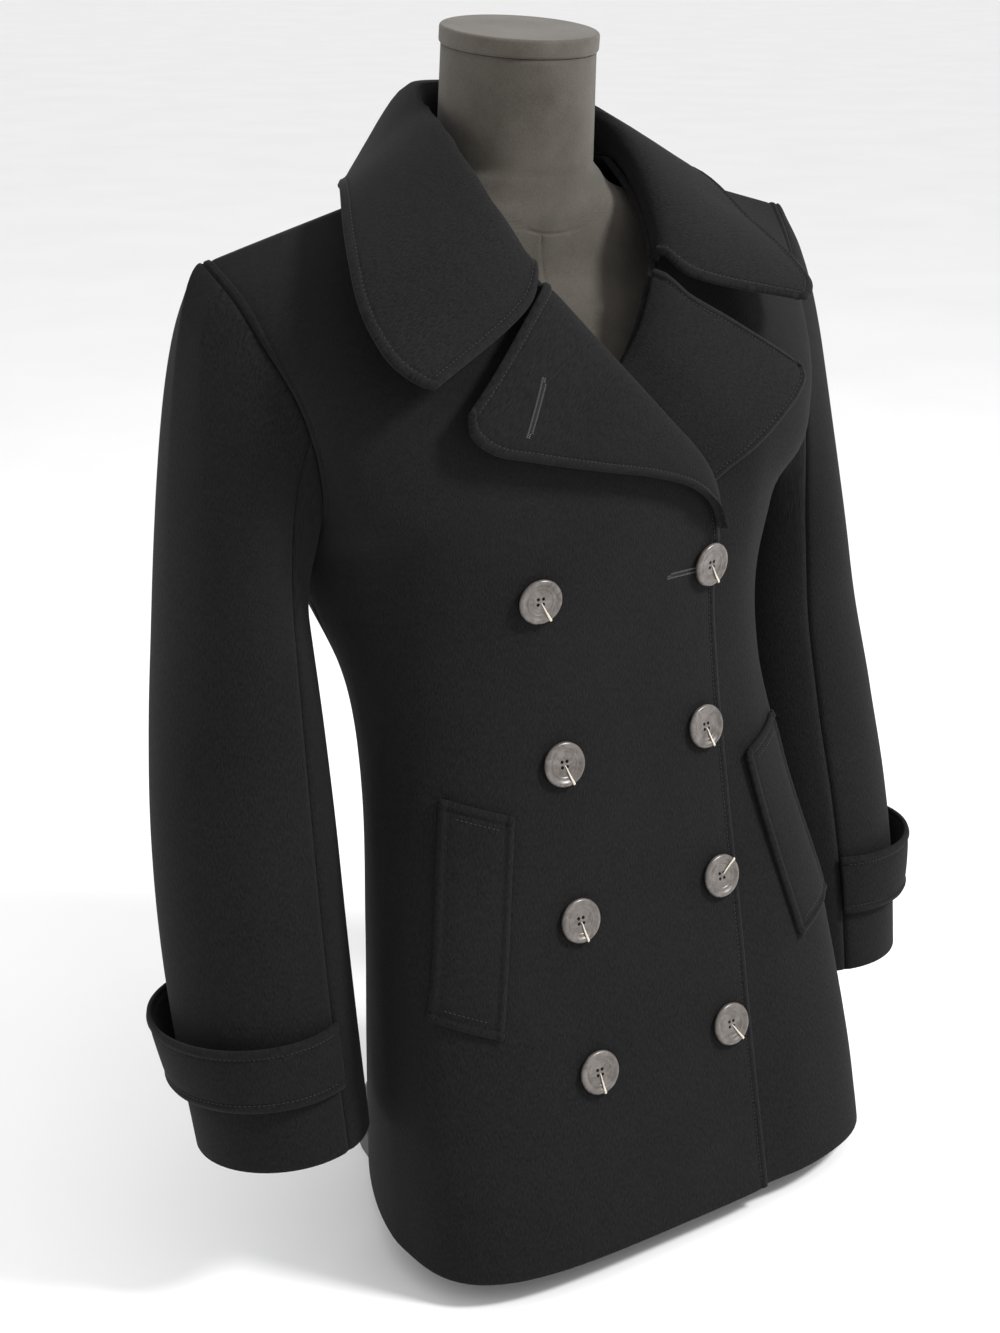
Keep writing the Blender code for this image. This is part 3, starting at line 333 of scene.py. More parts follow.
# ------------------------------------------------------------------ body of the coat
def body_row(row, start_x):
    """Half section of the body as a fine line from start_x, round the side, to the centre back."""
    height, side_x, side_y, front_y, back_y, front_n, back_n = row
    start = math.asin(np.sign(start_x) * (abs(start_x) / side_x) ** (front_n / 2))
    front = np.linspace(start, math.pi / 2, 600)
    back = np.linspace(math.pi / 2, math.pi, 600)[1:]
    line = []
    for angles, far_y, n in ((front, front_y, front_n), (back, back_y, back_n)):
        sine, cosine = np.sin(angles), np.abs(np.cos(angles))
        x = side_x * np.sign(sine) * np.abs(sine) ** (2 / n)
        y = side_y + (far_y - side_y) * cosine ** (2 / n)
        line.append(np.stack([x, y, np.full_like(x, height)], axis=1))
    return np.concatenate(line)


def split_at_side(line):
    """The front and back parts of a body line, cut at the side seam in the plane y = 0."""
    widest = int(np.argmax(line[:, 0]))
    after = widest + int(np.argmax(line[widest:, 1] >= 0))
    if line[after, 1] > 0 and after > 0:
        a, b = line[after - 1], line[after]
        seam = a + (b - a) * (-a[1] / (b[1] - a[1]))
        return np.concatenate([line[:after], [seam]]), np.concatenate([[seam], line[after:]])
    return line[:after + 1], line[after:]


def yoke_row(row, shares):
    """A yoke row from its inner to its outer end, rounding away from the straight line."""
    inner, outer, n = np.array(row[:3]), np.array(row[3:6]), row[6]
    angle = np.linspace(0, math.pi / 2, 600)[:, None]
    line = inner + (outer - inner) * np.sin(angle) ** (2 / n)
    line[:, 1] = outer[1] + (inner[1] - outer[1]) * np.cos(angle[:, 0]) ** (2 / n)
    return resample(line, shares)


KEY_HEIGHTS = np.concatenate([column(BODY, BODY_COLUMNS, "height"),
                              column(FRONT_YOKE, YOKE_COLUMNS, "out_z")])
ARMPIT, SHOULDER_TIP = BODY[-1][0], FRONT_YOKE[-1][5]


def row_levels():
    """Heights at the side and armhole where the mesh rows of every body piece start."""
    low = worked_shares(ARMPIT, True, False) * ARMPIT
    high = ARMPIT + worked_shares(SHOULDER_TIP - ARMPIT, False, True) * (SHOULDER_TIP - ARMPIT)
    return np.concatenate([low, high[1:]]), len(low) - 1


def front_keys(shares):
    lower = [resample(split_at_side(body_row(row, -FRONT_EDGE))[0], shares) for row in BODY]
    return np.array(lower + [yoke_row(row, shares) for row in FRONT_YOKE])


def back_keys(seam_shares, neck_shares):
    """Key rows from the side seam or armhole to the centre back."""
    both = np.concatenate([seam_shares * SEAM_SHARE, SEAM_SHARE + neck_shares[1:] * (1 - SEAM_SHARE)])
    lower = [resample(split_at_side(body_row(row, 0.0))[1], both) for row in BODY]
    yoke = [yoke_row(row, 1 - both) for row in BACK_YOKE]
    neck_point, tip = np.array(FRONT_YOKE[-1][:3]), np.array(FRONT_YOKE[-1][3:6])
    seam = tip + (neck_point - tip) * seam_shares[:, None]
    turn = neck_shares[1:, None] * math.pi / 2
    nape = np.array(NAPE)
    neck = np.concatenate([neck_point[:1] * np.cos(turn),
                           neck_point[1] + (nape[1] - neck_point[1]) * np.sin(turn),
                           neck_point[2] + (nape[2] - neck_point[2]) * np.sin(turn)], axis=1)
    yoke.append(np.concatenate([seam, neck]))
    return np.array(lower + yoke)


def swing(points):
    """The flare of the wearer's left hem, on points of either side."""
    out = points.copy()
    low = 1 - smoothstep(points[..., 2] / 0.30)
    front = smoothstep((0.04 - points[..., 1]) / 0.14)
    reach = smoothstep(points[..., 0] / 0.16)
    out[..., 0] *= 1 + HEM_SWING * low * front * reach
    return out


def tuck_under(points):
    """The under front steps in below the upper one and eases out beyond its edge."""
    normals = grid_normals(points)
    reach = smoothstep((FRONT_EDGE + OVERLAP_EASE - points[..., 0]) / OVERLAP_EASE)
    step = OVERLAP_STEP + (LAPEL_STEP - OVERLAP_STEP) * smoothstep((points[..., 2] - 0.40) / 0.06)
    above = smoothstep((0.66 - points[..., 2]) / 0.08)
    return points - normals * (step * reach * above)[..., None]


# ------------------------------------------------------------------ sleeves
def sleeve_rings(hole, angle, levels, head_steps):
    """Rings of the left sleeve, armhole to cuff, each starting at the shoulder tip and going forward."""
    heights = column(SLEEVE, SLEEVE_COLUMNS, "height")[::-1]
    table = np.array([row[1:] for row in SLEEVE])[::-1]

    def ring(height):
        x, y, half_x, half_y, tilt = hermite(heights, table, height)[0]
        dy = -half_y * np.sin(angle)
        return np.stack([x + half_x * np.cos(angle), y + dy, height - dy * tilt], axis=1)

    top = ring(heights[-1])
    shoulder = ((1 + np.cos(angle)) / 2)[:, None]
    reach = np.linalg.norm(top - hole, axis=1, keepdims=True)
    leave = unit(shoulder * np.array([1.0, 0, 0.10]) + (1 - shoulder) * np.array([0.10, 0, -1.0]))
    leave = leave * reach * (1 - 0.70 * shoulder)
    arrive = (ring(heights[-1] - 0.01) - top) / 0.01 * reach * 0.9
    rings = []
    for s in head_steps[:-1]:
        rings.append(hole * (1 + 2 * s) * (1 - s) ** 2 + leave * s * (1 - s) ** 2
                     + top * s * s * (3 - 2 * s) + arrive * s * s * (s - 1))
    for height in levels:
        rings.append(ring(height))
    return np.array(rings)


def sleeve_surface(front, back, low):
    """The sleeve's rings at the armhole's own points, with the index of each seam."""
    hole = np.concatenate([front[low:, -1][::-1], back[low:, 0][1:-1]])
    round_the_hole = len(front[low:]) - 1
    angle = np.concatenate([np.linspace(0, math.pi, round_the_hole + 1),
                            np.linspace(math.pi, 2 * math.pi, len(hole) - round_the_hole + 1)[1:-1]])
    head = worked_shares(0.16, True, False)
    top, bottom = SLEEVE[0][0], SLEEVE[-1][0]
    levels = top + worked_shares(top - bottom, False, True) * (bottom - top)
    rings = sleeve_rings(hole, angle, levels, head)
    seam_angle = SLEEVE_SEAM * 2 * math.pi
    front_seam = int(np.argmin(np.abs(angle - seam_angle)))
    back_seam = int(np.argmin(np.abs(angle - (2 * math.pi - seam_angle))))
    return rings, front_seam, back_seam


def arm_swing(points):
    out = points.copy()
    out[..., 0] += ARM_SWING * smoothstep((0.56 - points[..., 2]) / 0.26)
    return out


def strap_surface():
    """The cuff strap: it stands off the sleeve between the two seams, most at its upper edge."""
    heights = column(SLEEVE, SLEEVE_COLUMNS, "height")[::-1]
    table = np.array([row[1:] for row in SLEEVE])[::-1]
    seam = SLEEVE_SEAM * 2 * math.pi
    shares = worked_shares(STRAP_LENGTH, True, True)
    angles = seam - 0.03 - shares * (2 * seam - 0.06)
    arc = np.sin(shares * math.pi) ** 0.8
    rows = []
    for share in worked_shares(STRAP_TOP - STRAP_BOTTOM, True, True):
        height = STRAP_BOTTOM + (STRAP_TOP - STRAP_BOTTOM) * share
        loose = STRAP_LOOSE_BOTTOM + (STRAP_LOOSE_TOP - STRAP_LOOSE_BOTTOM) * share
        x, y, half_x, half_y, tilt = hermite(heights, table, height)[0]
        dy = -half_y * np.sin(angles)
        at = np.stack([x + half_x * np.cos(angles), y + dy, height - dy * tilt], axis=1)
        outward = unit((at - np.array([x, y, height])) * np.array([1, 1, 0]))
        rows.append(at + outward * (STRAP_REST + STRAP_WALL + loose * arc)[:, None])
    return np.array(rows)


# ------------------------------------------------------------------ collar, lapels and welts
def collar_half(side):
    """Half of the collar, laid out on the wearer's left, from the centre back to the leaf's front edge."""
    sections = np.array(COLLAR[side], float)
    knots = np.linspace(0, 1, len(sections))
    shares = worked_shares(COLLAR_LENGTH, False, True)
    ease = 1 - (1 - shares) ** 1.15
    keys = hermite(knots, sections.reshape(len(sections), -1), ease).reshape(-1, 4, 3)
    down = worked_shares(COLLAR_DEPTH, False, True)
    out = []
    for key, u in zip(keys, ease):
        spans = np.linalg.norm(np.diff(key, axis=0), axis=1) ** 0.5
        knot = np.concatenate([[0], np.cumsum(spans)])
        line = hermite(knot, key, np.linspace(0, knot[-1], 160))
        shorten = LEAF_TIP * max(0.0, (u - (1 - LEAF_ROUNDING)) / LEAF_ROUNDING) ** 2
        out.append(resample(line, down * (1 - shorten)))
    return np.array(out).transpose(1, 0, 2)


def collar_surface():
    """Middle surface of the collar: rows from the neck seam over the roll to the outer edge."""
    right, left = collar_half("right"), collar_half("left")
    return np.concatenate([mirrored(right)[:, :0:-1], left], axis=1)


class Chest:
    """Reads the front's design surface by front-view position."""

    def __init__(self, surface):
        self.surface = surface
        widest = surface[..., 0].argmax(axis=1)
        self.facing = np.arange(surface.shape[1])[None] < widest[:, None]

    def at(self, x, z):
        """Points and normals of the surface at x outwards and height z."""
        grid = self.surface
        rows, cols = grid.shape[:2]
        x, z = np.atleast_1d(np.asarray(x, float)), np.atleast_1d(np.asarray(z, float))
        flat = grid.reshape(-1, 3)
        places = np.where(self.facing.ravel())[0]
        near = places[np.argmin((flat[places, 0][None] - x[:, None]) ** 2
                                + (flat[places, 2][None] - z[:, None]) ** 2, axis=1)]
        i, j = (near // cols).astype(float), (near % cols).astype(float)
        for _ in range(12):
            point, di, dj = self.read(i, j)
            a, b, c, d = di[:, 0], dj[:, 0], di[:, 2], dj[:, 2]
            det = a * d - b * c
            det = np.where(np.abs(det) < 1e-12, 1e-12, det)
            ex, ez = x - point[:, 0], z - point[:, 2]
            i = i + np.clip((d * ex - b * ez) / det, -2, 2)
            j = j + np.clip((a * ez - c * ex) / det, -2, 2)
            i, j = np.clip(i, -4, rows + 3), np.clip(j, -4, cols + 3)
        point, di, dj = self.read(i, j)
        return point, unit(np.cross(dj, di))

    def read(self, i, j):
        """Bilinear surface point and its derivatives at row i and column j, past the edges too."""
        grid = self.surface
        i0 = np.clip(np.floor(i).astype(int), 0, grid.shape[0] - 2)
        j0 = np.clip(np.floor(j).astype(int), 0, grid.shape[1] - 2)
        s, t = (i - i0)[:, None], (j - j0)[:, None]
        p00, p01 = grid[i0, j0], grid[i0, j0 + 1]
        p10, p11 = grid[i0 + 1, j0], grid[i0 + 1, j0 + 1]
        point = p00 * (1 - s) * (1 - t) + p01 * (1 - s) * t + p10 * s * (1 - t) + p11 * s * t
        return point, (p10 - p00) * (1 - t) + (p11 - p01) * t, (p01 - p00) * (1 - s) + (p11 - p10) * s

    def row(self, height):
        """Row of the design surface whose inner end is at a height."""
        return int(np.argmin(np.abs(self.surface[:, 0, 2] - height)))


def lapel_surface(chest, side):
    """Middle surface of a lapel: turned over at the roll line, then lying out over the chest."""
    edge = np.array(LAPEL[side])
    shares = lengths_along(edge[:, :2])
    u = worked_shares(LAPEL_LENGTH, False, True)
    across = worked_shares(LAPEL_WIDTH, False, True)
    edge_at = hermite(shares / shares[-1], edge, u)
    first, last = chest.row(LAPEL_ROLL_START[side]), chest.row(LAPEL_ROLL_END)
    roll = resample(chest.surface[first:last, 0], u)[:, [0, 2]]
    corners = np.zeros((3, 3))
    corners[:, :2] = roll[-1], LAPEL_NOTCH[side], edge_at[-1, :2]
    top = resample(corners, across)[:, :2]
    bend = top - (top[0] + (top[-1] - top[0]) * across[:, None])
    lines, normals, lifts = [], [], []
    for start, (*end, edge_off, roll_off), share in zip(roll, edge_at, u):
        path = start + (np.array(end) - start) * across[:, None] + bend * share ** LAPEL_NOTCH_EASE
        points, facing = chest.at(path[:, 0], path[:, 1])
        away = np.linalg.norm(path - start, axis=1)
        lines.append(points)
        normals.append(facing)
        lifts.append(roll_off + (edge_off - roll_off) * (1 - np.exp(-away / LAPEL_ROLL_WIDTH / 2)) ** 0.7)
    facing = unit(smoothed(np.array(normals), 8))
    lapel = smoothed(np.array(lines), 2) + facing * np.array(lifts)[..., None]
    return lapel.transpose(1, 0, 2)


def welt_surface(chest):
    """A pocket welt lying on the front, from the front's own points moved out."""
    inner_top, outer_top, outer_bottom, inner_bottom = (np.array(p) for p in WELT)
    s, t = np.meshgrid(worked_shares(WELT_SIZE[0]), worked_shares(WELT_SIZE[1]))
    s, t = s[..., None], t[..., None]
    place = ((inner_bottom * (1 - s) + outer_bottom * s) * (1 - t)
             + (inner_top * (1 - s) + outer_top * s) * t)
    points, normals = chest.at(place[..., 0].ravel(), place[..., 1].ravel())
    return (points + normals * (2 * SEAM_GAP + WELT_WALL)).reshape(place.shape[:2] + (3,))


# ------------------------------------------------------------------ cloth shells
EDGES = ("low", "high", "first", "last")      # row 0, last row, column 0, last column


def edge_distance(grid, edge):
    """Distance of every grid point from one border, measured along the grid."""
    if edge in ("low", "high"):
        steps = np.linalg.norm(np.diff(grid, axis=0), axis=2)
        total = np.concatenate([np.zeros((1, grid.shape[1])), np.cumsum(steps, axis=0)])
        return total if edge == "low" else total[-1:] - total
    steps = np.linalg.norm(np.diff(grid, axis=1), axis=2)
    total = np.concatenate([np.zeros((grid.shape[0], 1)), np.cumsum(steps, axis=1)], axis=1)
    return total if edge == "first" else total[:, -1:] - total


def rolled(distance, inset=STITCH_INSET):
    """A turned edge: full between the fold and the stitching, drawn in along the stitches."""
    full = 0.0006 * np.sin(math.pi * np.clip(distance / inset, 0, 1)) ** 0.8
    drawn = 0.0007 * np.exp(-((distance - inset) / 0.0010) ** 2)
    beyond = 0.0004 * np.exp(-((distance - inset) / 0.006) ** 2) * (distance > inset)
    return full - drawn - beyond


def pressed(distance):
    """A pressed seam: the cloth dips into it."""
    return -0.0011 * np.exp(-(distance / 0.0016) ** 2)


def ridge(distance):
    """The raised, topstitched band on the body side of an armhole."""
    plateau = 0.0011 * (1 - smoothstep((distance - 0.0042) / 0.0018)) * smoothstep(distance / 0.0014)
    return plateau - 0.0005 * np.exp(-((distance - 0.0055) / 0.0010) ** 2)


PROFILES = {"rolled": rolled, "seam": pressed}


def armhole_ridge(grid, edges):
    """Lift of a body piece at its side edges: a seam up to the armpit and the raised band above it."""
    lift = 0
    for edge in edges:
        distance = edge_distance(grid, edge)
        above = smoothstep((grid[..., 2] - ARMPIT - RIDGE_EASE) / RIDGE_EASE)
        lift = lift + ridge(distance) * above + pressed(distance) * (1 - above)
    return lift


def border_of(shape):
    """Grid indices round the border, in order."""
    rows, cols = shape[:2]
    return ([(0, j) for j in range(cols)] + [(i, cols - 1) for i in range(1, rows)]
            + [(rows - 1, j) for j in range(cols - 2, -1, -1)] + [(i, 0) for i in range(rows - 2, 0, -1)])


def outward_steps(grid, normals, border):
    """Unit steps out of the grid across its border, at each border point."""
    rows, cols = grid.shape[:2]
    points = np.array([grid[i, j] for i, j in border])
    facing = np.array([normals[i, j] for i, j in border])
    edge = np.roll(points, -1, axis=0) - np.roll(points, 1, axis=0)
    step = unit(np.cross(facing, edge))
    for k, (i, j) in enumerate(border):
        inner = grid[min(max(i, 1), rows - 2), min(max(j, 1), cols - 2)]
        if np.dot(step[k], inner - points[k]) > 0:
            step[k] = -step[k]
    return step


class Cloth:
    """Cloth pieces gathered first, so that neighbours share their normals along a seam."""

    def __init__(self):
        self.pieces = {}

    def add(self, name, grid, wall, outward=1, edges=None, lift=None):
        normals = grid_normals(grid) * outward
        self.pieces[name] = {"grid": grid, "wall": wall, "normals": normals, "outward": outward,
                             "edges": edges or {}, "lift": lift}

    def build(self, material):
        totals = {}
        for piece in self.pieces.values():
            for point, normal in border_items(piece):
                key = tuple(np.round(point, 6))
                totals[key] = totals.get(key, 0) + normal
        made = {}
        for name, piece in self.pieces.items():
            grid, normals = piece["grid"], piece["normals"].copy()
            border = border_of(grid.shape)
            for i, j in border:
                normals[i, j] = unit(totals[tuple(np.round(grid[i, j], 6))])
            lift = np.zeros(grid.shape[:2]) if piece["lift"] is None else piece["lift"]
            for edge, style in piece["edges"].items():
                distance = edge_distance(grid, edge)
                lift = lift + PROFILES[style](distance)
            outer = grid + normals * lift[..., None]
            steps = outward_steps(grid, normals, border)
            roundness = border_roundness(piece["edges"], grid.shape, border)
            for k, (i, j) in enumerate(border):
                if roundness[k] == 0:
                    outer[i, j] = outer[i, j] - steps[k] * SEAM_GAP / 2
            inner = outer - normals * piece["wall"]
            thing = shell(name + "_cloth", outer, inner, steps, roundness, border, material)
            piece["outer"], piece["facing"] = outer, normals
            made[name] = thing
        return made


def border_items(piece):
    grid, normals = piece["grid"], piece["normals"]
    return [(grid[i, j], normals[i, j]) for i, j in border_of(grid.shape)]


def border_roundness(edges, shape, border):
    """1 along free edges, which round over, and 0 along seams, which stay square to their neighbour."""
    rows, cols = shape[:2]
    out = []
    for i, j in border:
        here = [name for name, on in zip(EDGES, (i == 0, i == rows - 1, j == 0, j == cols - 1)) if on]
        out.append(float(any(edges.get(name) in (None, "rolled") for name in here)))
    return out


def shell(name, outer, inner, steps, roundness, border, material):
    """A closed cloth mesh with both faces, rounded free edges and a map in metres along the cloth."""
    rows, cols = outer.shape[:2]
    count = rows * cols
    verts = [outer.reshape(-1, 3), inner.reshape(-1, 3)]
    top = np.array([i * cols + j for i, j in border])
    face, back = outer.reshape(-1, 3)[top], inner.reshape(-1, 3)[top]
    middle, half = (face + back) / 2, (face - back) / 2
    thick = np.linalg.norm(half, axis=1, keepdims=True)
    loops = [top]
    for k in range(1, RIM_STEPS):
        angle = math.pi * k / RIM_STEPS
        reach = np.array(steps) * thick * math.sin(angle) * np.array(roundness)[:, None]
        verts.append(middle + half * math.cos(angle) + reach)
        loops.append(2 * count + (k - 1) * len(top) + np.arange(len(top)))
    loops.append(top + count)
    index = np.arange(count).reshape(rows, cols)
    quads = np.stack([index[:-1, :-1], index[:-1, 1:], index[1:, 1:], index[1:, :-1]], axis=-1).reshape(-1, 4)
    faces = [quads, quads[:, ::-1] + count]
    for a, b in zip(loops[:-1], loops[1:]):
        faces.append(np.stack([np.roll(a, -1), a, b, np.roll(b, -1)], axis=1))
    faces = np.concatenate(faces)
    verts = np.concatenate(verts)
    u = lengths_along(outer[rows // 2])[None].repeat(rows, axis=0)
    v = lengths_along(outer[:, cols // 2])[:, None].repeat(cols, axis=1)
    place = np.stack([u, v], axis=-1).reshape(-1, 2)
    places = np.concatenate([place, place] + [place[top]] * (RIM_STEPS - 1))
    return mesh_piece(name, verts, faces, material, places)


def mesh_piece(name, verts, faces, material, places=None):
    data = bpy.data.meshes.new(name)
    data.from_pydata(verts.tolist() if hasattr(verts, "tolist") else verts, [],
                     faces.tolist() if hasattr(faces, "tolist") else faces)
    data.update()
    if volume_sign(data) < 0:
        data.flip_normals()
    if places is not None:
        layer = data.uv_layers.new(name="cloth")
        which = np.zeros(len(data.loops), dtype=int)
        data.loops.foreach_get("vertex_index", which)
        layer.data.foreach_set("uv", places[which].astype(np.float32).ravel())
    data.shade_smooth()
    data.materials.append(material)
    thing = bpy.data.objects.new(name, data)
    bpy.context.scene.collection.objects.link(thing)
    return thing


def volume_sign(data):
    """The sign of a closed mesh's volume, so that its faces can be turned outwards."""
    data.calc_loop_triangles()
    corners = np.zeros(len(data.loop_triangles) * 3, dtype=int)
    data.loop_triangles.foreach_get("vertices", corners)
    places = np.zeros(len(data.vertices) * 3)
    data.vertices.foreach_get("co", places)
    a, b, c = places.reshape(-1, 3)[corners.reshape(-1, 3)].transpose(1, 0, 2)
    return float(np.einsum("ij,ij->i", a, np.cross(b, c)).sum())


# ------------------------------------------------------------------ stitching
def line_inside(piece, edge, inset):
    """Points and normals of the line that runs inset from one border of a cloth piece."""
    outer, facing = piece["outer"], piece["facing"]
    distance = edge_distance(piece["grid"], edge)
    if edge in ("low", "high"):
        outer, facing, distance = (np.swapaxes(a, 0, 1) for a in (outer, facing, distance))
    points, normals = [], []
    for line, normal, away in zip(outer, facing, distance):
        order = np.argsort(away)
        points.append([np.interp(inset, away[order], line[order, k]) for k in range(3)])
        normals.append([np.interp(inset, away[order], normal[order, k]) for k in range(3)])
    return np.array(points), unit(np.array(normals))


def trimmed(points, normals, start, end):
    """A line of points without its first start and last end metres."""
    length = lengths_along(points)
    keep = (length >= start) & (length <= length[-1] - end)
    return points[keep], normals[keep]


def stitches(name, lines, material, pitch=STITCH_PITCH, span=STITCH_LENGTH, radius=STITCH_RADIUS):
    """Short rounded stitches along lines of (points, normals), joined into one piece."""
    verts, faces = [], []
    for points, normals in lines:
        length = lengths_along(points)
        count = int(length[-1] / pitch)
        for k in range(count):
            start = (k + 0.5) * pitch - span / 2
            at = np.linspace(start, start + span, 5)
            spine = np.stack([np.interp(at, length, points[:, a]) for a in range(3)], axis=1)
            normal = unit(np.array([np.interp(at[2], length, normals[:, a]) for a in range(3)]))
            bow = np.sin(np.linspace(0, math.pi, 5)) ** 0.7
            spine = spine + normal * (radius * 1.3 * bow - radius * 0.6)[:, None]
            side = unit(np.cross(normal, spine[-1] - spine[0]))
            thin = radius * np.array([0.25, 0.85, 1.0, 0.85, 0.25])
            base = len(verts)
            for centre, r in zip(spine, thin):
                for turn in range(6):
                    a = turn * math.pi / 3
                    verts.append(centre + side * math.cos(a) * r + normal * math.sin(a) * r)
            for ring in range(4):
                for turn in range(6):
                    a, b = base + ring * 6 + turn, base + ring * 6 + (turn + 1) % 6
                    faces.append((a, b, b + 6, a + 6))
            faces.append(tuple(base + turn for turn in range(5, -1, -1)))
            faces.append(tuple(base + 24 + turn for turn in range(6)))
    return mesh_piece(name, np.array(verts), faces, material)


def buttonhole(name, points, normals, materials):
    """A worked buttonhole: a near-black strip of painted shadow in the slit, purl stitches along both sides and a
    bar at each end.
    """
    length = lengths_along(points)
    count = int(length[-1] / PURL_PITCH)
    at = np.linspace(0, length[-1], count + 1)
    spine = np.stack([np.interp(at, length, points[:, k]) for k in range(3)], axis=1)
    facing = unit(np.stack([np.interp(at, length, normals[:, k]) for k in range(3)], axis=1))
    along = unit(np.gradient(spine, axis=0))
    side = unit(np.cross(facing, along))
    lines = []
    for sign in (-1, 1):
        for centre, out, normal in zip(spine, side * sign, facing):
            purl = np.array([centre + out * SLIT_HALF, centre + out * (SLIT_HALF + PURL_LENGTH)])
            lines.append((purl, np.array([normal, normal])))
    for end, sign in ((0, -1), (-1, 1)):
        for k in range(BAR_THREADS):
            centre = spine[end] + along[end] * sign * (k + 1) * PURL_PITCH
            reach = side[end] * (SLIT_HALF + PURL_LENGTH)
            lines.append((np.array([centre - reach, centre, centre + reach]), np.array([facing[end]] * 3)))
    worked = stitches(name, lines, materials[0], PURL_LENGTH * 0.95, PURL_LENGTH * 0.95, PURL_RADIUS)
    # The slit is painted shadow: a near-black strip laid just over the cloth where the opening would lie in shade.
    verts = np.concatenate([spine + side * SLIT_HALF, spine - side * SLIT_HALF]) + np.tile(facing, (2, 1)) * 0.0001
    faces = [(k, k + 1, count + 2 + k, count + 1 + k) for k in range(count)]
    slit = mesh_piece(name + "_slit", verts, faces, materials[1])
    for thing in (worked, slit):
        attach(thing, "root")


def across_grid(piece, start, end, steps=12):
    """Points and normals on a cloth piece's face between two places given as row and column."""
    rows, cols = (np.linspace(a, b, steps) for a, b in zip(start, end))
    i, j = rows.astype(int), cols.astype(int)
    s, t = (rows - i)[:, None], (cols - j)[:, None]
    out = []
    for field in (piece["outer"], piece["facing"]):
        out.append((field[i, j] * (1 - t) + field[i, j + 1] * t) * (1 - s)
                   + (field[i + 1, j] * (1 - t) + field[i + 1, j + 1] * t) * s)
    return out[0], unit(out[1])


# ------------------------------------------------------------------ buttons
def revolve(name, profile, sides, material):
    """A closed turned solid from a profile of (radius, height) points that starts and ends on the axis."""
    angle = np.arange(sides) * 2 * math.pi / sides
    verts = [(0, 0, profile[0][1])]
    for r, z in profile[1:-1]:
        verts += [(r * math.cos(a), r * math.sin(a), z) for a in angle]
    verts.append((0, 0, profile[-1][1]))
    faces = [(0, 1 + (k + 1) % sides, 1 + k) for k in range(sides)]
    for ring in range(len(profile) - 3):
        base = 1 + ring * sides
        for k in range(sides):
            n = (k + 1) % sides
            faces.append((base + k, base + n, base + sides + n, base + sides + k))
    last = 1 + (len(profile) - 3) * sides
    faces += [(len(verts) - 1, last + k, last + (k + 1) % sides) for k in range(sides)]
    return mesh_piece(name, np.array(verts), faces, material)


# Button section as shares of its radius and thickness, underside to face, axis to axis.
BUTTON_PROFILE = (
    (0.00, 0.00), (0.78, 0.00), (0.90, 0.10), (0.97, 0.28), (1.00, 0.50), (0.995, 0.68), (0.97, 0.85),
    (0.93, 0.96), (0.88, 1.00), (0.83, 0.97), (0.78, 0.87), (0.73, 0.76), (0.685, 0.69), (0.66, 0.68),
    (0.64, 0.71), (0.62, 0.74), (0.60, 0.74), (0.58, 0.70), (0.56, 0.64), (0.53, 0.61), (0.30, 0.60),
    (0.00, 0.60),
)


def button(name, place, normal, materials, turn_degrees):
    """A turned four-hole button with its thread, lying against the cloth."""
    horn, thread = materials
    profile = [(r * BUTTON_RADIUS, z * BUTTON_THICKNESS) for r, z in BUTTON_PROFILE]
    disc = revolve(name + "_turned", profile, BUTTON_SIDES, horn)
    drill = None
    verts, faces = [], []
    for quarter in range(4):
        spin = math.radians(45 + 90 * quarter)
        x, y = BUTTON_HOLE_OFFSET * math.cos(spin), BUTTON_HOLE_OFFSET * math.sin(spin)
        base = len(verts)
        for z in (-0.01, 0.01):
            for k in range(16):
                a = 2 * math.pi * k / 16
                verts.append((x + BUTTON_HOLE_RADIUS * math.cos(a), y + BUTTON_HOLE_RADIUS * math.sin(a), z))
        for k in range(16):
            n = (k + 1) % 16
            faces.append((base + k, base + n, base + 16 + n, base + 16 + k))
        faces.append(tuple(base + k for k in range(15, -1, -1)))
        faces.append(tuple(base + 16 + k for k in range(16)))
    drill = mesh_piece(name + "_drill", np.array(verts), faces, horn)
    cut = disc.modifiers.new("holes", "BOOLEAN")
    cut.operation = "DIFFERENCE"
    cut.object = drill
    held = bpy.context.evaluated_depsgraph_get()
    data = bpy.data.meshes.new_from_object(disc.evaluated_get(held))
    for old in (disc, drill):
        bpy.data.objects.remove(old)
    data.name = name
    side = unit(np.cross([0.0, 0.0, 1.0], normal))
    up = np.cross(normal, side)
    turn = Matrix([[*map(float, row)] for row in np.stack([side, up, normal, place], axis=1)]).to_4x4()
    data.transform(turn)
    data.shade_smooth()
    data.set_sharp_from_angle(angle=math.radians(40))
    face = bpy.data.objects.new(name + "_fine", data)
    bpy.context.scene.collection.objects.link(face)
    tail = thread_tail(name + "_thread", math.radians(turn_degrees), thread)
    tail.data.transform(turn)
    return face, tail


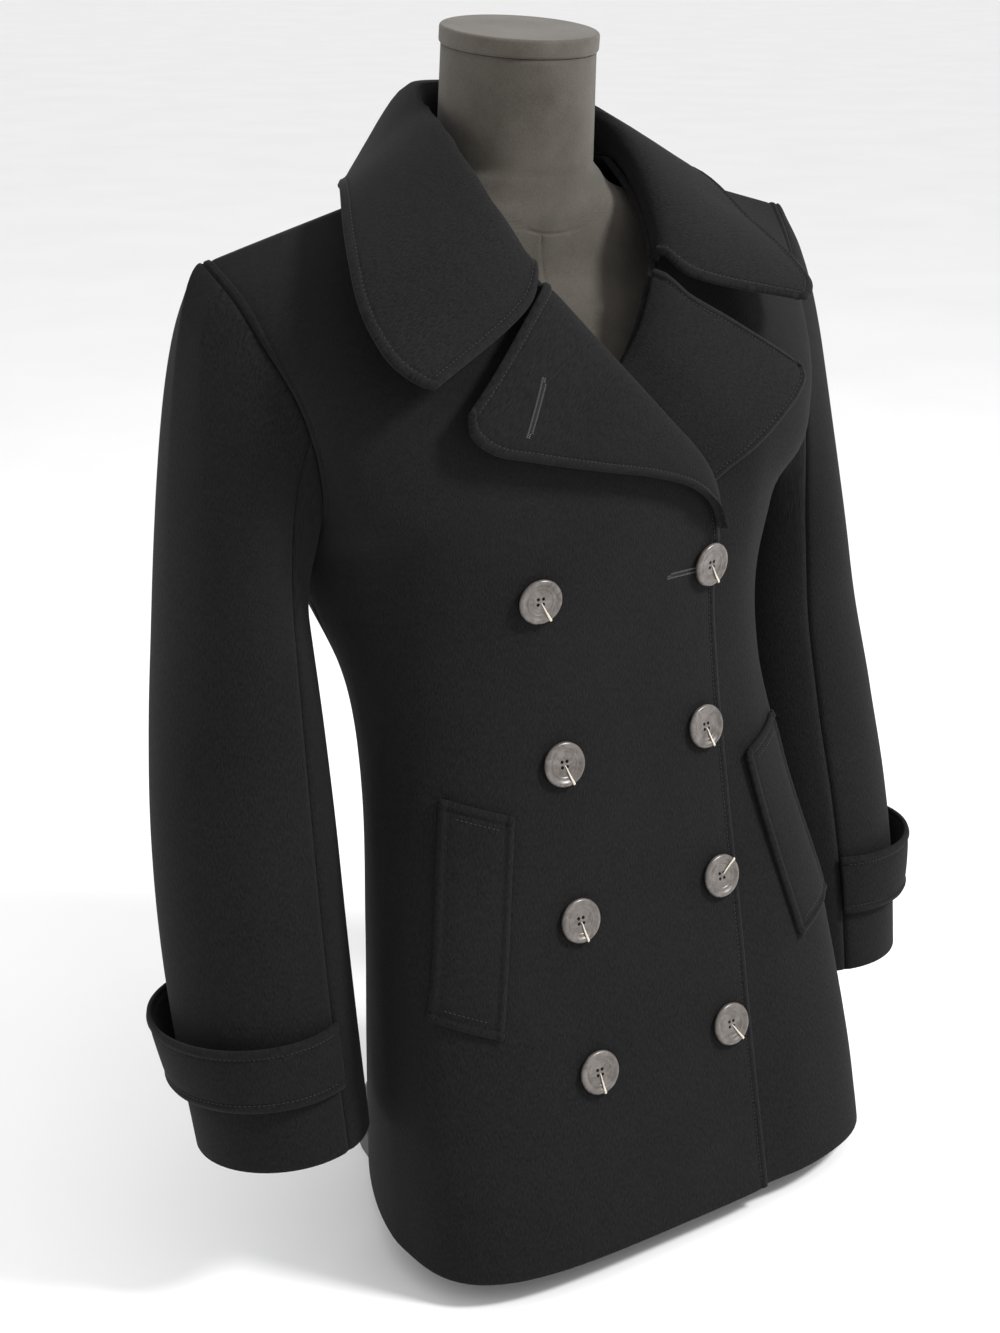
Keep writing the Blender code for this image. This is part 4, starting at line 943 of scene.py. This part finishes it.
def thread_tail(name, angle, material):
    """The pale thread: out of the holes, widening to where it goes over the rim."""
    out = np.array([math.cos(angle), math.sin(angle), 0.0])
    side = np.array([-out[1], out[0], 0.0])
    up = np.array([0.0, 0.0, 1.0])
    reach = np.array([0.03, 0.12, 0.26, 0.42, 0.58, 0.74, 0.88, 0.97, 1.01])
    rise = np.array([0.55, 0.70, 0.76, 0.80, 0.86, 0.96, 1.08, 1.08, 0.96])
    wide = np.array([0.20, 0.42, 0.50, 0.62, 0.74, 0.88, 1.02, 1.06, 0.80]) * 0.00085
    verts, faces = [], []
    sides = 10
    for r, z, w in zip(reach, rise, wide):
        centre = out * r * BUTTON_RADIUS + up * z * BUTTON_THICKNESS
        for k in range(sides):
            a = 2 * math.pi * k / sides
            verts.append(centre + side * math.cos(a) * w + up * math.sin(a) * w * 0.55)
    for ring in range(len(reach) - 1):
        for k in range(sides):
            a, b = ring * sides + k, ring * sides + (k + 1) % sides
            faces.append((a, b, b + sides, a + sides))
    faces.append(tuple(range(sides - 1, -1, -1)))
    faces.append(tuple((len(reach) - 1) * sides + k for k in range(sides)))
    return mesh_piece(name, np.array(verts), faces, material)


def button_seat(chest, x, height):
    """Where a button's underside lies, clear of the cloth all round, and the way it faces."""
    turn = np.arange(12) * math.pi / 6
    around, _ = chest.at(x + BUTTON_RADIUS * np.cos(turn), height + BUTTON_RADIUS * np.sin(turn))
    middle = around.mean(axis=0)
    normal = np.linalg.svd(around - middle)[2][2]
    normal = normal * -np.sign(normal[1])
    point = chest.at(x, height)[0][0]
    proud = max(((around - point) @ normal).max(), 0.0)
    return point + normal * (proud + BUTTON_LIFT), normal


# ------------------------------------------------------------------ dress form
def form_angles():
    """Angles round the form, closer together at the centre front seam."""
    even = np.linspace(0, 2 * math.pi, 129)[:-1]
    return np.unique(np.concatenate([even, 1.5 * math.pi - np.arange(0.03, 0.21, 0.006)]))


def form_mesh(name, material):
    """The torso and neck as one smooth skin with shallow sewn seams, closed at both ends."""
    angle = form_angles()
    sine, cosine = np.sin(angle), np.cos(angle)
    heights = column(FORM, FORM_COLUMNS, "height")
    table = np.array([row[1:] for row in FORM])
    seam_front, seam_y, seam_rise, seam_bow, seam_top = NECK_SEAM
    seam_rows = np.arange(seam_front - FORM_STEP, heights[-1], FORM_SEAM_WIDTH * 0.7)
    levels = np.unique(np.round(np.concatenate([np.arange(heights[0], heights[-1], FORM_STEP), heights,
                                                seam_rows]), 5))
    rings = []
    for height in levels:
        half_x, front_y, back_y, front_n, back_n = hermite(heights, table, height)[0]
        n = np.where(sine < 0, front_n, back_n)
        depth = np.where(sine < 0, NECK_TOP_Y - front_y, back_y - NECK_TOP_Y)
        x = half_x * np.sign(cosine) * np.abs(cosine) ** (2 / n)
        y = NECK_TOP_Y + np.sign(sine) * np.abs(sine) ** (2 / n) * depth
        rings.append(np.stack([x, y, np.full_like(x, height)], axis=1))
    for share in np.linspace(0, 1, 20)[1:]:
        height = heights[-1] + (NECK_TOP - heights[-1]) * share
        radius = NECK_BASE_RADIUS + (NECK_RADIUS - NECK_BASE_RADIUS) * share
        y = NECK_TOP_Y + (NECK_TOP - height) * math.tan(NECK_LEAN) + radius * sine
        rings.append(np.stack([radius * cosine, y, height + radius * sine * math.tan(CAP_TILT * share)],
                              axis=1))
    grid = np.array(rings)
    wrapped = np.concatenate([grid[:, -1:], grid, grid[:, :1]], axis=1)
    normals = unit(np.cross(np.gradient(wrapped, axis=1), np.gradient(wrapped, axis=0)))[:, 1:-1]
    x, y, z = grid[..., 0], grid[..., 1], grid[..., 2]
    neck_seam = np.minimum(seam_front + seam_rise * (y - seam_y) + seam_bow * x ** 2, seam_top)
    in_front = (y < 0) & (z < neck_seam)
    centre_line = np.exp(-((x - FORM_SEAM_X) / FORM_SEAM_WIDTH) ** 2) * in_front
    neck_line = np.exp(-((z - neck_seam) / FORM_SEAM_WIDTH) ** 2)
    grid = grid - normals * (FORM_SEAM_DEPTH * np.maximum(centre_line, neck_line))[..., None]
    rows, cols = grid.shape[:2]
    verts = raised(grid.reshape(-1, 3))
    faces = []
    for i in range(rows - 1):
        for k in range(cols):
            n = (k + 1) % cols
            faces.append((i * cols + k, i * cols + n, (i + 1) * cols + n, (i + 1) * cols + k))
    faces.append(tuple(range(cols - 1, -1, -1)))
    faces.append(tuple((rows - 1) * cols + k for k in range(cols)))
    return mesh_piece(name, verts, faces, material)


def cap_mesh(name, material):
    """The neck cap: a thin round plate with softened edges, tilted with the neck."""
    r, t = CAP_RADIUS, CAP_THICKNESS
    soft = 0.0022
    profile = [(0, 0), (r - soft, 0)]
    profile += [(r - soft + soft * math.sin(a), soft - soft * math.cos(a)) for a in np.linspace(0.3, 1.57, 5)]
    profile += [(r - soft + soft * math.cos(a), t - soft + soft * math.sin(a)) for a in np.linspace(0, 1.4, 5)]
    profile += [(r - soft * 1.6, t), (r * 0.5, t - 0.0003), (0, t - 0.0003)]
    cap = revolve(name, profile, 96, material)
    place = raised(np.array([0.0, NECK_TOP_Y - SEAM_GAP * math.sin(CAP_TILT),
                             NECK_TOP + SEAM_GAP * math.cos(CAP_TILT)]))
    cap.data.transform(Matrix.Translation(Vector(place)) @ Matrix.Rotation(CAP_TILT, 4, "X"))
    return cap


# ------------------------------------------------------------------ materials
class Nodes:
    """A material's node tree, with short calls for adding and linking nodes."""

    def __init__(self, name):
        self.material = bpy.data.materials.new(name)
        self.material.use_nodes = True
        self.tree = self.material.node_tree
        self.shader = self.tree.nodes["Principled BSDF"]

    def add(self, kind, links=None, **values):
        node = self.tree.nodes.new(kind)
        for key, value in values.items():
            if hasattr(node, key) and key not in node.inputs:
                setattr(node, key, value)
            else:
                node.inputs[key.replace("_", " ")].default_value = value
        for socket, source in (links or {}).items():
            self.tree.links.new(source, node.inputs[socket])
        return node

    def ramp(self, source, stops):
        node = self.add("ShaderNodeValToRGB", {"Fac": source})
        ramp = node.color_ramp
        while len(ramp.elements) < len(stops):
            ramp.elements.new(0.5)
        for element, (position, value) in zip(ramp.elements, stops):
            element.position = position
            element.color = (*value, 1) if isinstance(value, tuple) else (value, value, value, 1)
        return node.outputs["Color"]

    def math(self, operation, a, b):
        node = self.tree.nodes.new("ShaderNodeMath")
        node.operation = operation
        for socket, value in zip(node.inputs, (a, b)):
            if isinstance(value, (int, float)):
                socket.default_value = value
            else:
                self.tree.links.new(value, socket)
        return node.outputs[0]

    def link(self, source, socket):
        self.tree.links.new(source, self.shader.inputs[socket])

    def bump(self, height, distance, strength=1.0, under=None):
        links = {"Height": height}
        if under is not None:
            links["Normal"] = under
        node = self.add("ShaderNodeBump", links, Distance=distance, Strength=strength)
        return node.outputs["Normal"]


def wool(name, dark, light):
    """Melton wool: a felted twill whose grain runs on the bias, with matted fibres and a soft nap."""
    m = Nodes(name)
    place = m.add("ShaderNodeUVMap", uv_map="cloth").outputs["UV"]
    bias = m.add("ShaderNodeMapping", {"Vector": place})
    bias.inputs["Rotation"].default_value = (0, 0, math.radians(48))
    bias.inputs["Scale"].default_value = (1.0, 0.36, 1.0)
    grain = m.add("ShaderNodeTexNoise", {"Vector": bias.outputs["Vector"]}, Scale=900.0, Detail=3.0,
                  Roughness=0.6).outputs["Fac"]
    body = m.add("ShaderNodeTexCoord").outputs["Object"]
    fibre = m.add("ShaderNodeTexNoise", {"Vector": body}, Scale=1500.0, Detail=2.0,
                  Roughness=0.7).outputs["Fac"]
    mat = m.add("ShaderNodeTexNoise", {"Vector": body}, Scale=160.0, Detail=4.0,
                Roughness=0.6).outputs["Fac"]
    cloud = m.add("ShaderNodeTexNoise", {"Vector": body}, Scale=14.0, Detail=3.0,
                  Roughness=0.5).outputs["Fac"]
    mixed = m.math("ADD", m.math("MULTIPLY", grain, 0.55), m.math("MULTIPLY", fibre, 0.25))
    mixed = m.math("ADD", mixed, m.math("MULTIPLY", mat, 0.12))
    mixed = m.math("ADD", mixed, m.math("MULTIPLY", cloud, 0.10))
    m.link(m.ramp(mixed, ((0.38, dark), (0.66, light))), "Base Color")
    m.shader.inputs["Roughness"].default_value = 0.95
    m.shader.inputs["Specular IOR Level"].default_value = 0.15
    m.shader.inputs["Sheen Weight"].default_value = 0.03
    m.shader.inputs["Sheen Roughness"].default_value = 0.45
    m.shader.inputs["Sheen Tint"].default_value = (0.75, 0.75, 0.78, 1)
    rough = m.bump(grain, 0.0006, 0.9)
    m.link(m.bump(fibre, 0.0003, 0.6, rough), "Normal")
    return m.material


def felt(name, dark, light, speck):
    """Brushed cotton stretched over the form: matted, slightly soiled, with fine specks."""
    m = Nodes(name)
    body = m.add("ShaderNodeTexCoord").outputs["Object"]
    fine = m.add("ShaderNodeTexNoise", {"Vector": body}, Scale=1100.0, Detail=4.0,
                 Roughness=0.75).outputs["Fac"]
    cloud = m.add("ShaderNodeTexNoise", {"Vector": body}, Scale=22.0, Detail=5.0,
                  Roughness=0.6).outputs["Fac"]
    mixed = m.math("ADD", m.math("MULTIPLY", fine, speck), m.math("MULTIPLY", cloud, 1 - speck))
    m.link(m.ramp(mixed, ((0.34, dark), (0.66, light))), "Base Color")
    m.shader.inputs["Roughness"].default_value = 0.92
    m.shader.inputs["Specular IOR Level"].default_value = 0.2
    m.shader.inputs["Sheen Weight"].default_value = 0.15
    m.shader.inputs["Sheen Roughness"].default_value = 0.5
    m.link(m.bump(fine, 0.0003, 0.8), "Normal")
    return m.material


def horn(name):
    """Grey-brown horn: faint drifting bands under a satin polish."""
    m = Nodes(name)
    body = m.add("ShaderNodeTexCoord").outputs["Object"]
    drift = m.add("ShaderNodeTexNoise", {"Vector": body}, Scale=90.0, Detail=4.0, Distortion=1.6,
                  Roughness=0.6).outputs["Fac"]
    fine = m.add("ShaderNodeTexNoise", {"Vector": body}, Scale=900.0, Detail=2.0).outputs["Fac"]
    colour = m.ramp(m.math("ADD", m.math("MULTIPLY", drift, 0.8), m.math("MULTIPLY", fine, 0.2)),
                    ((0.36, (0.070, 0.060, 0.053)), (0.64, (0.155, 0.140, 0.128))))
    m.link(colour, "Base Color")
    m.link(m.ramp(fine, ((0.3, 0.30), (0.7, 0.42))), "Roughness")
    m.shader.inputs["Metallic"].default_value = 0.25
    m.shader.inputs["Coat Weight"].default_value = 0.25
    m.shader.inputs["Coat Roughness"].default_value = 0.25
    m.link(m.bump(fine, 0.00008, 0.5), "Normal")
    return m.material


def thread(name, colour, bright):
    """Twisted thread: a fine ply grain."""
    m = Nodes(name)
    body = m.add("ShaderNodeTexCoord").outputs["Object"]
    ply = m.add("ShaderNodeTexNoise", {"Vector": body}, Scale=2200.0, Detail=2.0).outputs["Fac"]
    m.link(m.ramp(ply, ((0.35, colour), (0.65, bright))), "Base Color")
    m.shader.inputs["Roughness"].default_value = 0.7
    m.link(m.bump(ply, 0.0002, 0.8), "Normal")
    return m.material


def paint(name):
    """Satin paint on the base plate, lightly scuffed."""
    m = Nodes(name)
    body = m.add("ShaderNodeTexCoord").outputs["Object"]
    scuff = m.add("ShaderNodeTexNoise", {"Vector": body}, Scale=60.0, Detail=6.0,
                  Roughness=0.7).outputs["Fac"]
    m.link(m.ramp(scuff, ((0.4, (0.030, 0.029, 0.028)), (0.7, (0.060, 0.058, 0.055)))), "Base Color")
    m.link(m.ramp(scuff, ((0.3, 0.38), (0.7, 0.60))), "Roughness")
    m.link(m.bump(scuff, 0.0004, 0.4), "Normal")
    return m.material


def plain(name, colour):
    m = Nodes(name)
    body = m.add("ShaderNodeTexCoord").outputs["Object"]
    soft = m.add("ShaderNodeTexNoise", {"Vector": body}, Scale=3.0, Detail=2.0).outputs["Fac"]
    low = tuple(0.97 * c for c in colour)
    m.link(m.ramp(soft, ((0.3, low), (0.7, colour))), "Base Color")
    m.shader.inputs["Roughness"].default_value = 0.9
    return m.material


# ------------------------------------------------------------------ stage
def camera_and_light():
    scene = bpy.context.scene
    data = bpy.data.cameras.new("camera")
    data.lens, data.sensor_width = CAMERA_LENS, CAMERA_SENSOR
    camera = bpy.data.objects.new("camera", data)
    scene.collection.objects.link(camera)
    place, target = Vector(CAMERA_PLACE), Vector(CAMERA_TARGET)
    camera.location = place
    camera.rotation_euler = (target - place).to_track_quat("-Z", "Y").to_euler()
    scene.camera = camera
    scene.view_settings.view_transform = "Standard"
    world = bpy.data.worlds.new("studio")
    world.use_nodes = True
    world.node_tree.nodes["Background"].inputs["Color"].default_value = (1.0, 1.0, 1.0, 1)
    world.node_tree.nodes["Background"].inputs["Strength"].default_value = 0.95
    scene.world = world
    for name, spot, aim, size, power in (
            ("key", (0.95, -1.25, 1.90), (0.0, -0.05, 0.45), 0.45, 46.0),
            ("rim", (-1.20, 1.00, 1.30), (0.0, 0.0, 0.45), 0.80, 10.0)):
        lamp = bpy.data.lights.new(name, "AREA")
        lamp.shape, lamp.size, lamp.energy = "DISK", size, power
        thing = bpy.data.objects.new(name, lamp)
        scene.collection.objects.link(thing)
        thing.location = spot
        thing.rotation_euler = (Vector(aim) - Vector(spot)).to_track_quat("-Z", "Y").to_euler()
    floor = mesh_piece("floor", np.array([(-60, -60, 0), (60, -60, 0), (60, 60, 0), (-60, 60, 0)], float),
                       [(0, 1, 2, 3)], plain("floor_white", (0.90, 0.90, 0.90)))
    floor.location.z = -0.0005


# ------------------------------------------------------------------ assembly
def declare(thing, node):
    """A cloth piece rides on the root and replaces its solid, which is hidden."""
    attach(thing, "root")
    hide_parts(node)


def sew(name, piece, edges, material, inset=STITCH_INSET):
    """Topstitching inside the named edges of one cloth piece, riding on the root."""
    lines = [trimmed(*line_inside(piece, edge, inset), inset, inset) for edge in edges]
    thing = stitches(name, lines, material)
    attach(thing, "root")
    return thing


def build():
    camera_and_light()
    wool_black = wool("melton_wool", (0.0026, 0.0025, 0.0029), (0.0130, 0.0124, 0.0134))
    thread_black = thread("thread_black", (0.006, 0.006, 0.007), (0.022, 0.022, 0.024))
    thread_grey = thread("thread_grey", (0.045, 0.044, 0.046), (0.110, 0.108, 0.110))
    # Painted shadow for the buttonhole slits: a near-black colour standing in for the shade in the opening.
    painted_slit_shadow = plain("slit_shadow", (0.0015, 0.0015, 0.0016))
    thread_pale = thread("thread_pale", (0.42, 0.36, 0.29), (0.80, 0.72, 0.62))
    horn_brown = horn("button_horn")
    felt_brown = felt("form_felt", (0.040, 0.035, 0.029), (0.088, 0.078, 0.065), 0.45)
    felt_cap = felt("form_cap", (0.050, 0.044, 0.036), (0.105, 0.093, 0.078), 0.45)

    levels, low = row_levels()
    front_shares = worked_shares(0.33)
    front = hermite(KEY_HEIGHTS, front_keys(front_shares), levels)
    back_half = hermite(KEY_HEIGHTS, back_keys(front_shares, worked_shares(0.09, False, True)), levels)
    chest_levels = np.concatenate([np.linspace(0, ARMPIT, DESIGN_STEPS + 1),
                                   np.linspace(ARMPIT, SHOULDER_TIP, DESIGN_STEPS + 1)[1:]])
    chest = Chest(hermite(KEY_HEIGHTS, front_keys(np.linspace(0, 1, DESIGN_STEPS + 1)), chest_levels))

    body = Cloth()
    right = mirrored(front)[:, ::-1]
    left = tuck_under(swing(front))
    left[:, -1], left[-1] = swing(front)[:, -1], swing(front)[-1]
    body.add("front_right", raised(right), WALL["front"], edges={"last": "rolled", "high": "seam"},
             lift=armhole_ridge(right, ("first",)))
    body.add("front_left", raised(left), WALL["front"], edges={"first": "rolled", "high": "seam"},
             lift=armhole_ridge(left, ("last",)))
    whole = np.concatenate([back_half, mirrored(back_half)[:, -2::-1]], axis=1)
    body.add("back", raised(swing(whole)), WALL["back"], edges={"high": "seam"},
             lift=armhole_ridge(whole, ("first", "last")))
    rings, front_seam, back_seam = sleeve_surface(front, back_half, low)
    around = rings.shape[1]
    top = [k % around for k in range(back_seam - around, front_seam + 1)]
    under = list(range(front_seam, back_seam + 1))
    for side in ("right", "left"):
        for part, columns in (("topsleeve_", top), ("undersleeve_", under)):
            grid = rings[:, columns]
            grid = arm_swing(grid)[::-1, ::-1] if side == "left" else mirrored(grid)[::-1]
            body.add(part + side, raised(grid), WALL["sleeve"],
                     edges={"first": "seam", "last": "seam", "high": "seam"})
    made = body.build(wool_black)

    for side in ("right", "left"):
        strap = strap_surface()
        strap = arm_swing(strap) if side == "left" else mirrored(strap)[:, ::-1]
        welt = welt_surface(chest)
        welt = swing(welt) if side == "left" else mirrored(welt)[:, ::-1]
        trim = Cloth()
        trim.add("strap_" + side, raised(strap), STRAP_WALL, edges={"low": "rolled", "high": "rolled"})
        trim.add("welt_" + side, raised(welt), WELT_WALL,
                 edges={"low": "rolled", "high": "rolled", "first": "rolled", "last": "rolled"})
        made.update(trim.build(wool_black))
        strap_seams = sew(f"stitches_strap_{side}", trim.pieces["strap_" + side], ("low", "high"), thread_black)
        welt_seams = sew(f"stitches_welt_{side}", trim.pieces["welt_" + side], ("low", "high"), thread_black,
                         WELT_STITCH_INSET)
        declare(made["strap_" + side], "strap_" + side)
        declare(made["welt_" + side], "welt_" + side)

    collar = Cloth()
    middle = collar_surface()
    collar.add("collar", raised(middle + grid_normals(middle) * WALL["collar"] / 2), WALL["collar"],
               edges={"high": "rolled", "first": "rolled", "last": "rolled"})
    for side in ("right", "left"):
        lapel = lapel_surface(chest, side)
        lapel = lapel[:, ::-1] if side == "left" else mirrored(lapel)
        out = grid_normals(lapel)
        sign = -1 if out[12, 12, 1] > 0 else 1
        far = "first" if side == "left" else "last"
        collar.add("lapel_" + side, raised(lapel + out * sign * WALL["lapel"] / 2), WALL["lapel"], sign,
                   edges={"high": "rolled", far: "rolled"})
    made.update(collar.build(wool_black))
    collar_seams = sew("stitches_collar", collar.pieces["collar"], ("high", "first", "last"), thread_black)
    declare(made["collar"], "collar")
    for side, far in (("right", "last"), ("left", "first")):
        seams = sew(f"stitches_lapel_{side}", collar.pieces["lapel_" + side], ("high", far), thread_black)
        declare(made["lapel_" + side], "lapel_" + side)

    edge = sew("stitches_front_right", body.pieces["front_right"], ("last",), thread_black)
    declare(made["front_right"], "front_right")
    declare(made["front_left"], "front_left")
    declare(made["back"], "back")
    for side in ("right", "left"):
        for part in ("topsleeve", "undersleeve"):
            declare(made[f"{part}_{side}"], f"{part}_{side}")

    buttonhole("buttonhole_lapel", *across_grid(collar.pieces["lapel_right"], *LAPEL_HOLE),
               (thread_grey, painted_slit_shadow))
    places, facing = chest.at(-np.linspace(*FRONT_HOLE[:2], 12), np.full(12, FRONT_HOLE[2]))
    buttonhole("buttonhole_front", raised(mirrored(places)), mirrored(facing), (thread_grey, painted_slit_shadow))
    for side, places in (("right", BUTTON_RIGHT_X), ("left", BUTTON_LEFT_X)):
        for number, (x, height) in enumerate(zip(places, BUTTON_HEIGHTS), 1):
            place, normal = button_seat(chest, -x, height)
            node = f"button_{side}_{number}"
            face, tail = button(node, raised(mirrored(place)), mirrored(normal), (horn_brown, thread_pale),
                                THREAD_TURN[side][number - 1])
            for piece in (face, tail):
                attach(piece, "root")
            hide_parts(node)

    for name, maker, coat, node, slot in (("form_skin", form_mesh, felt_brown, "dress_form", "form_felt"),
                                          ("form_neck_cap", cap_mesh, felt_cap, "neck_cap", "form_cap")):
        thing = maker(name, coat)
        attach(thing, "root")
        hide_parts(node)
    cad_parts["form_base"].material_slots[0].material = paint("base_paint")


build()
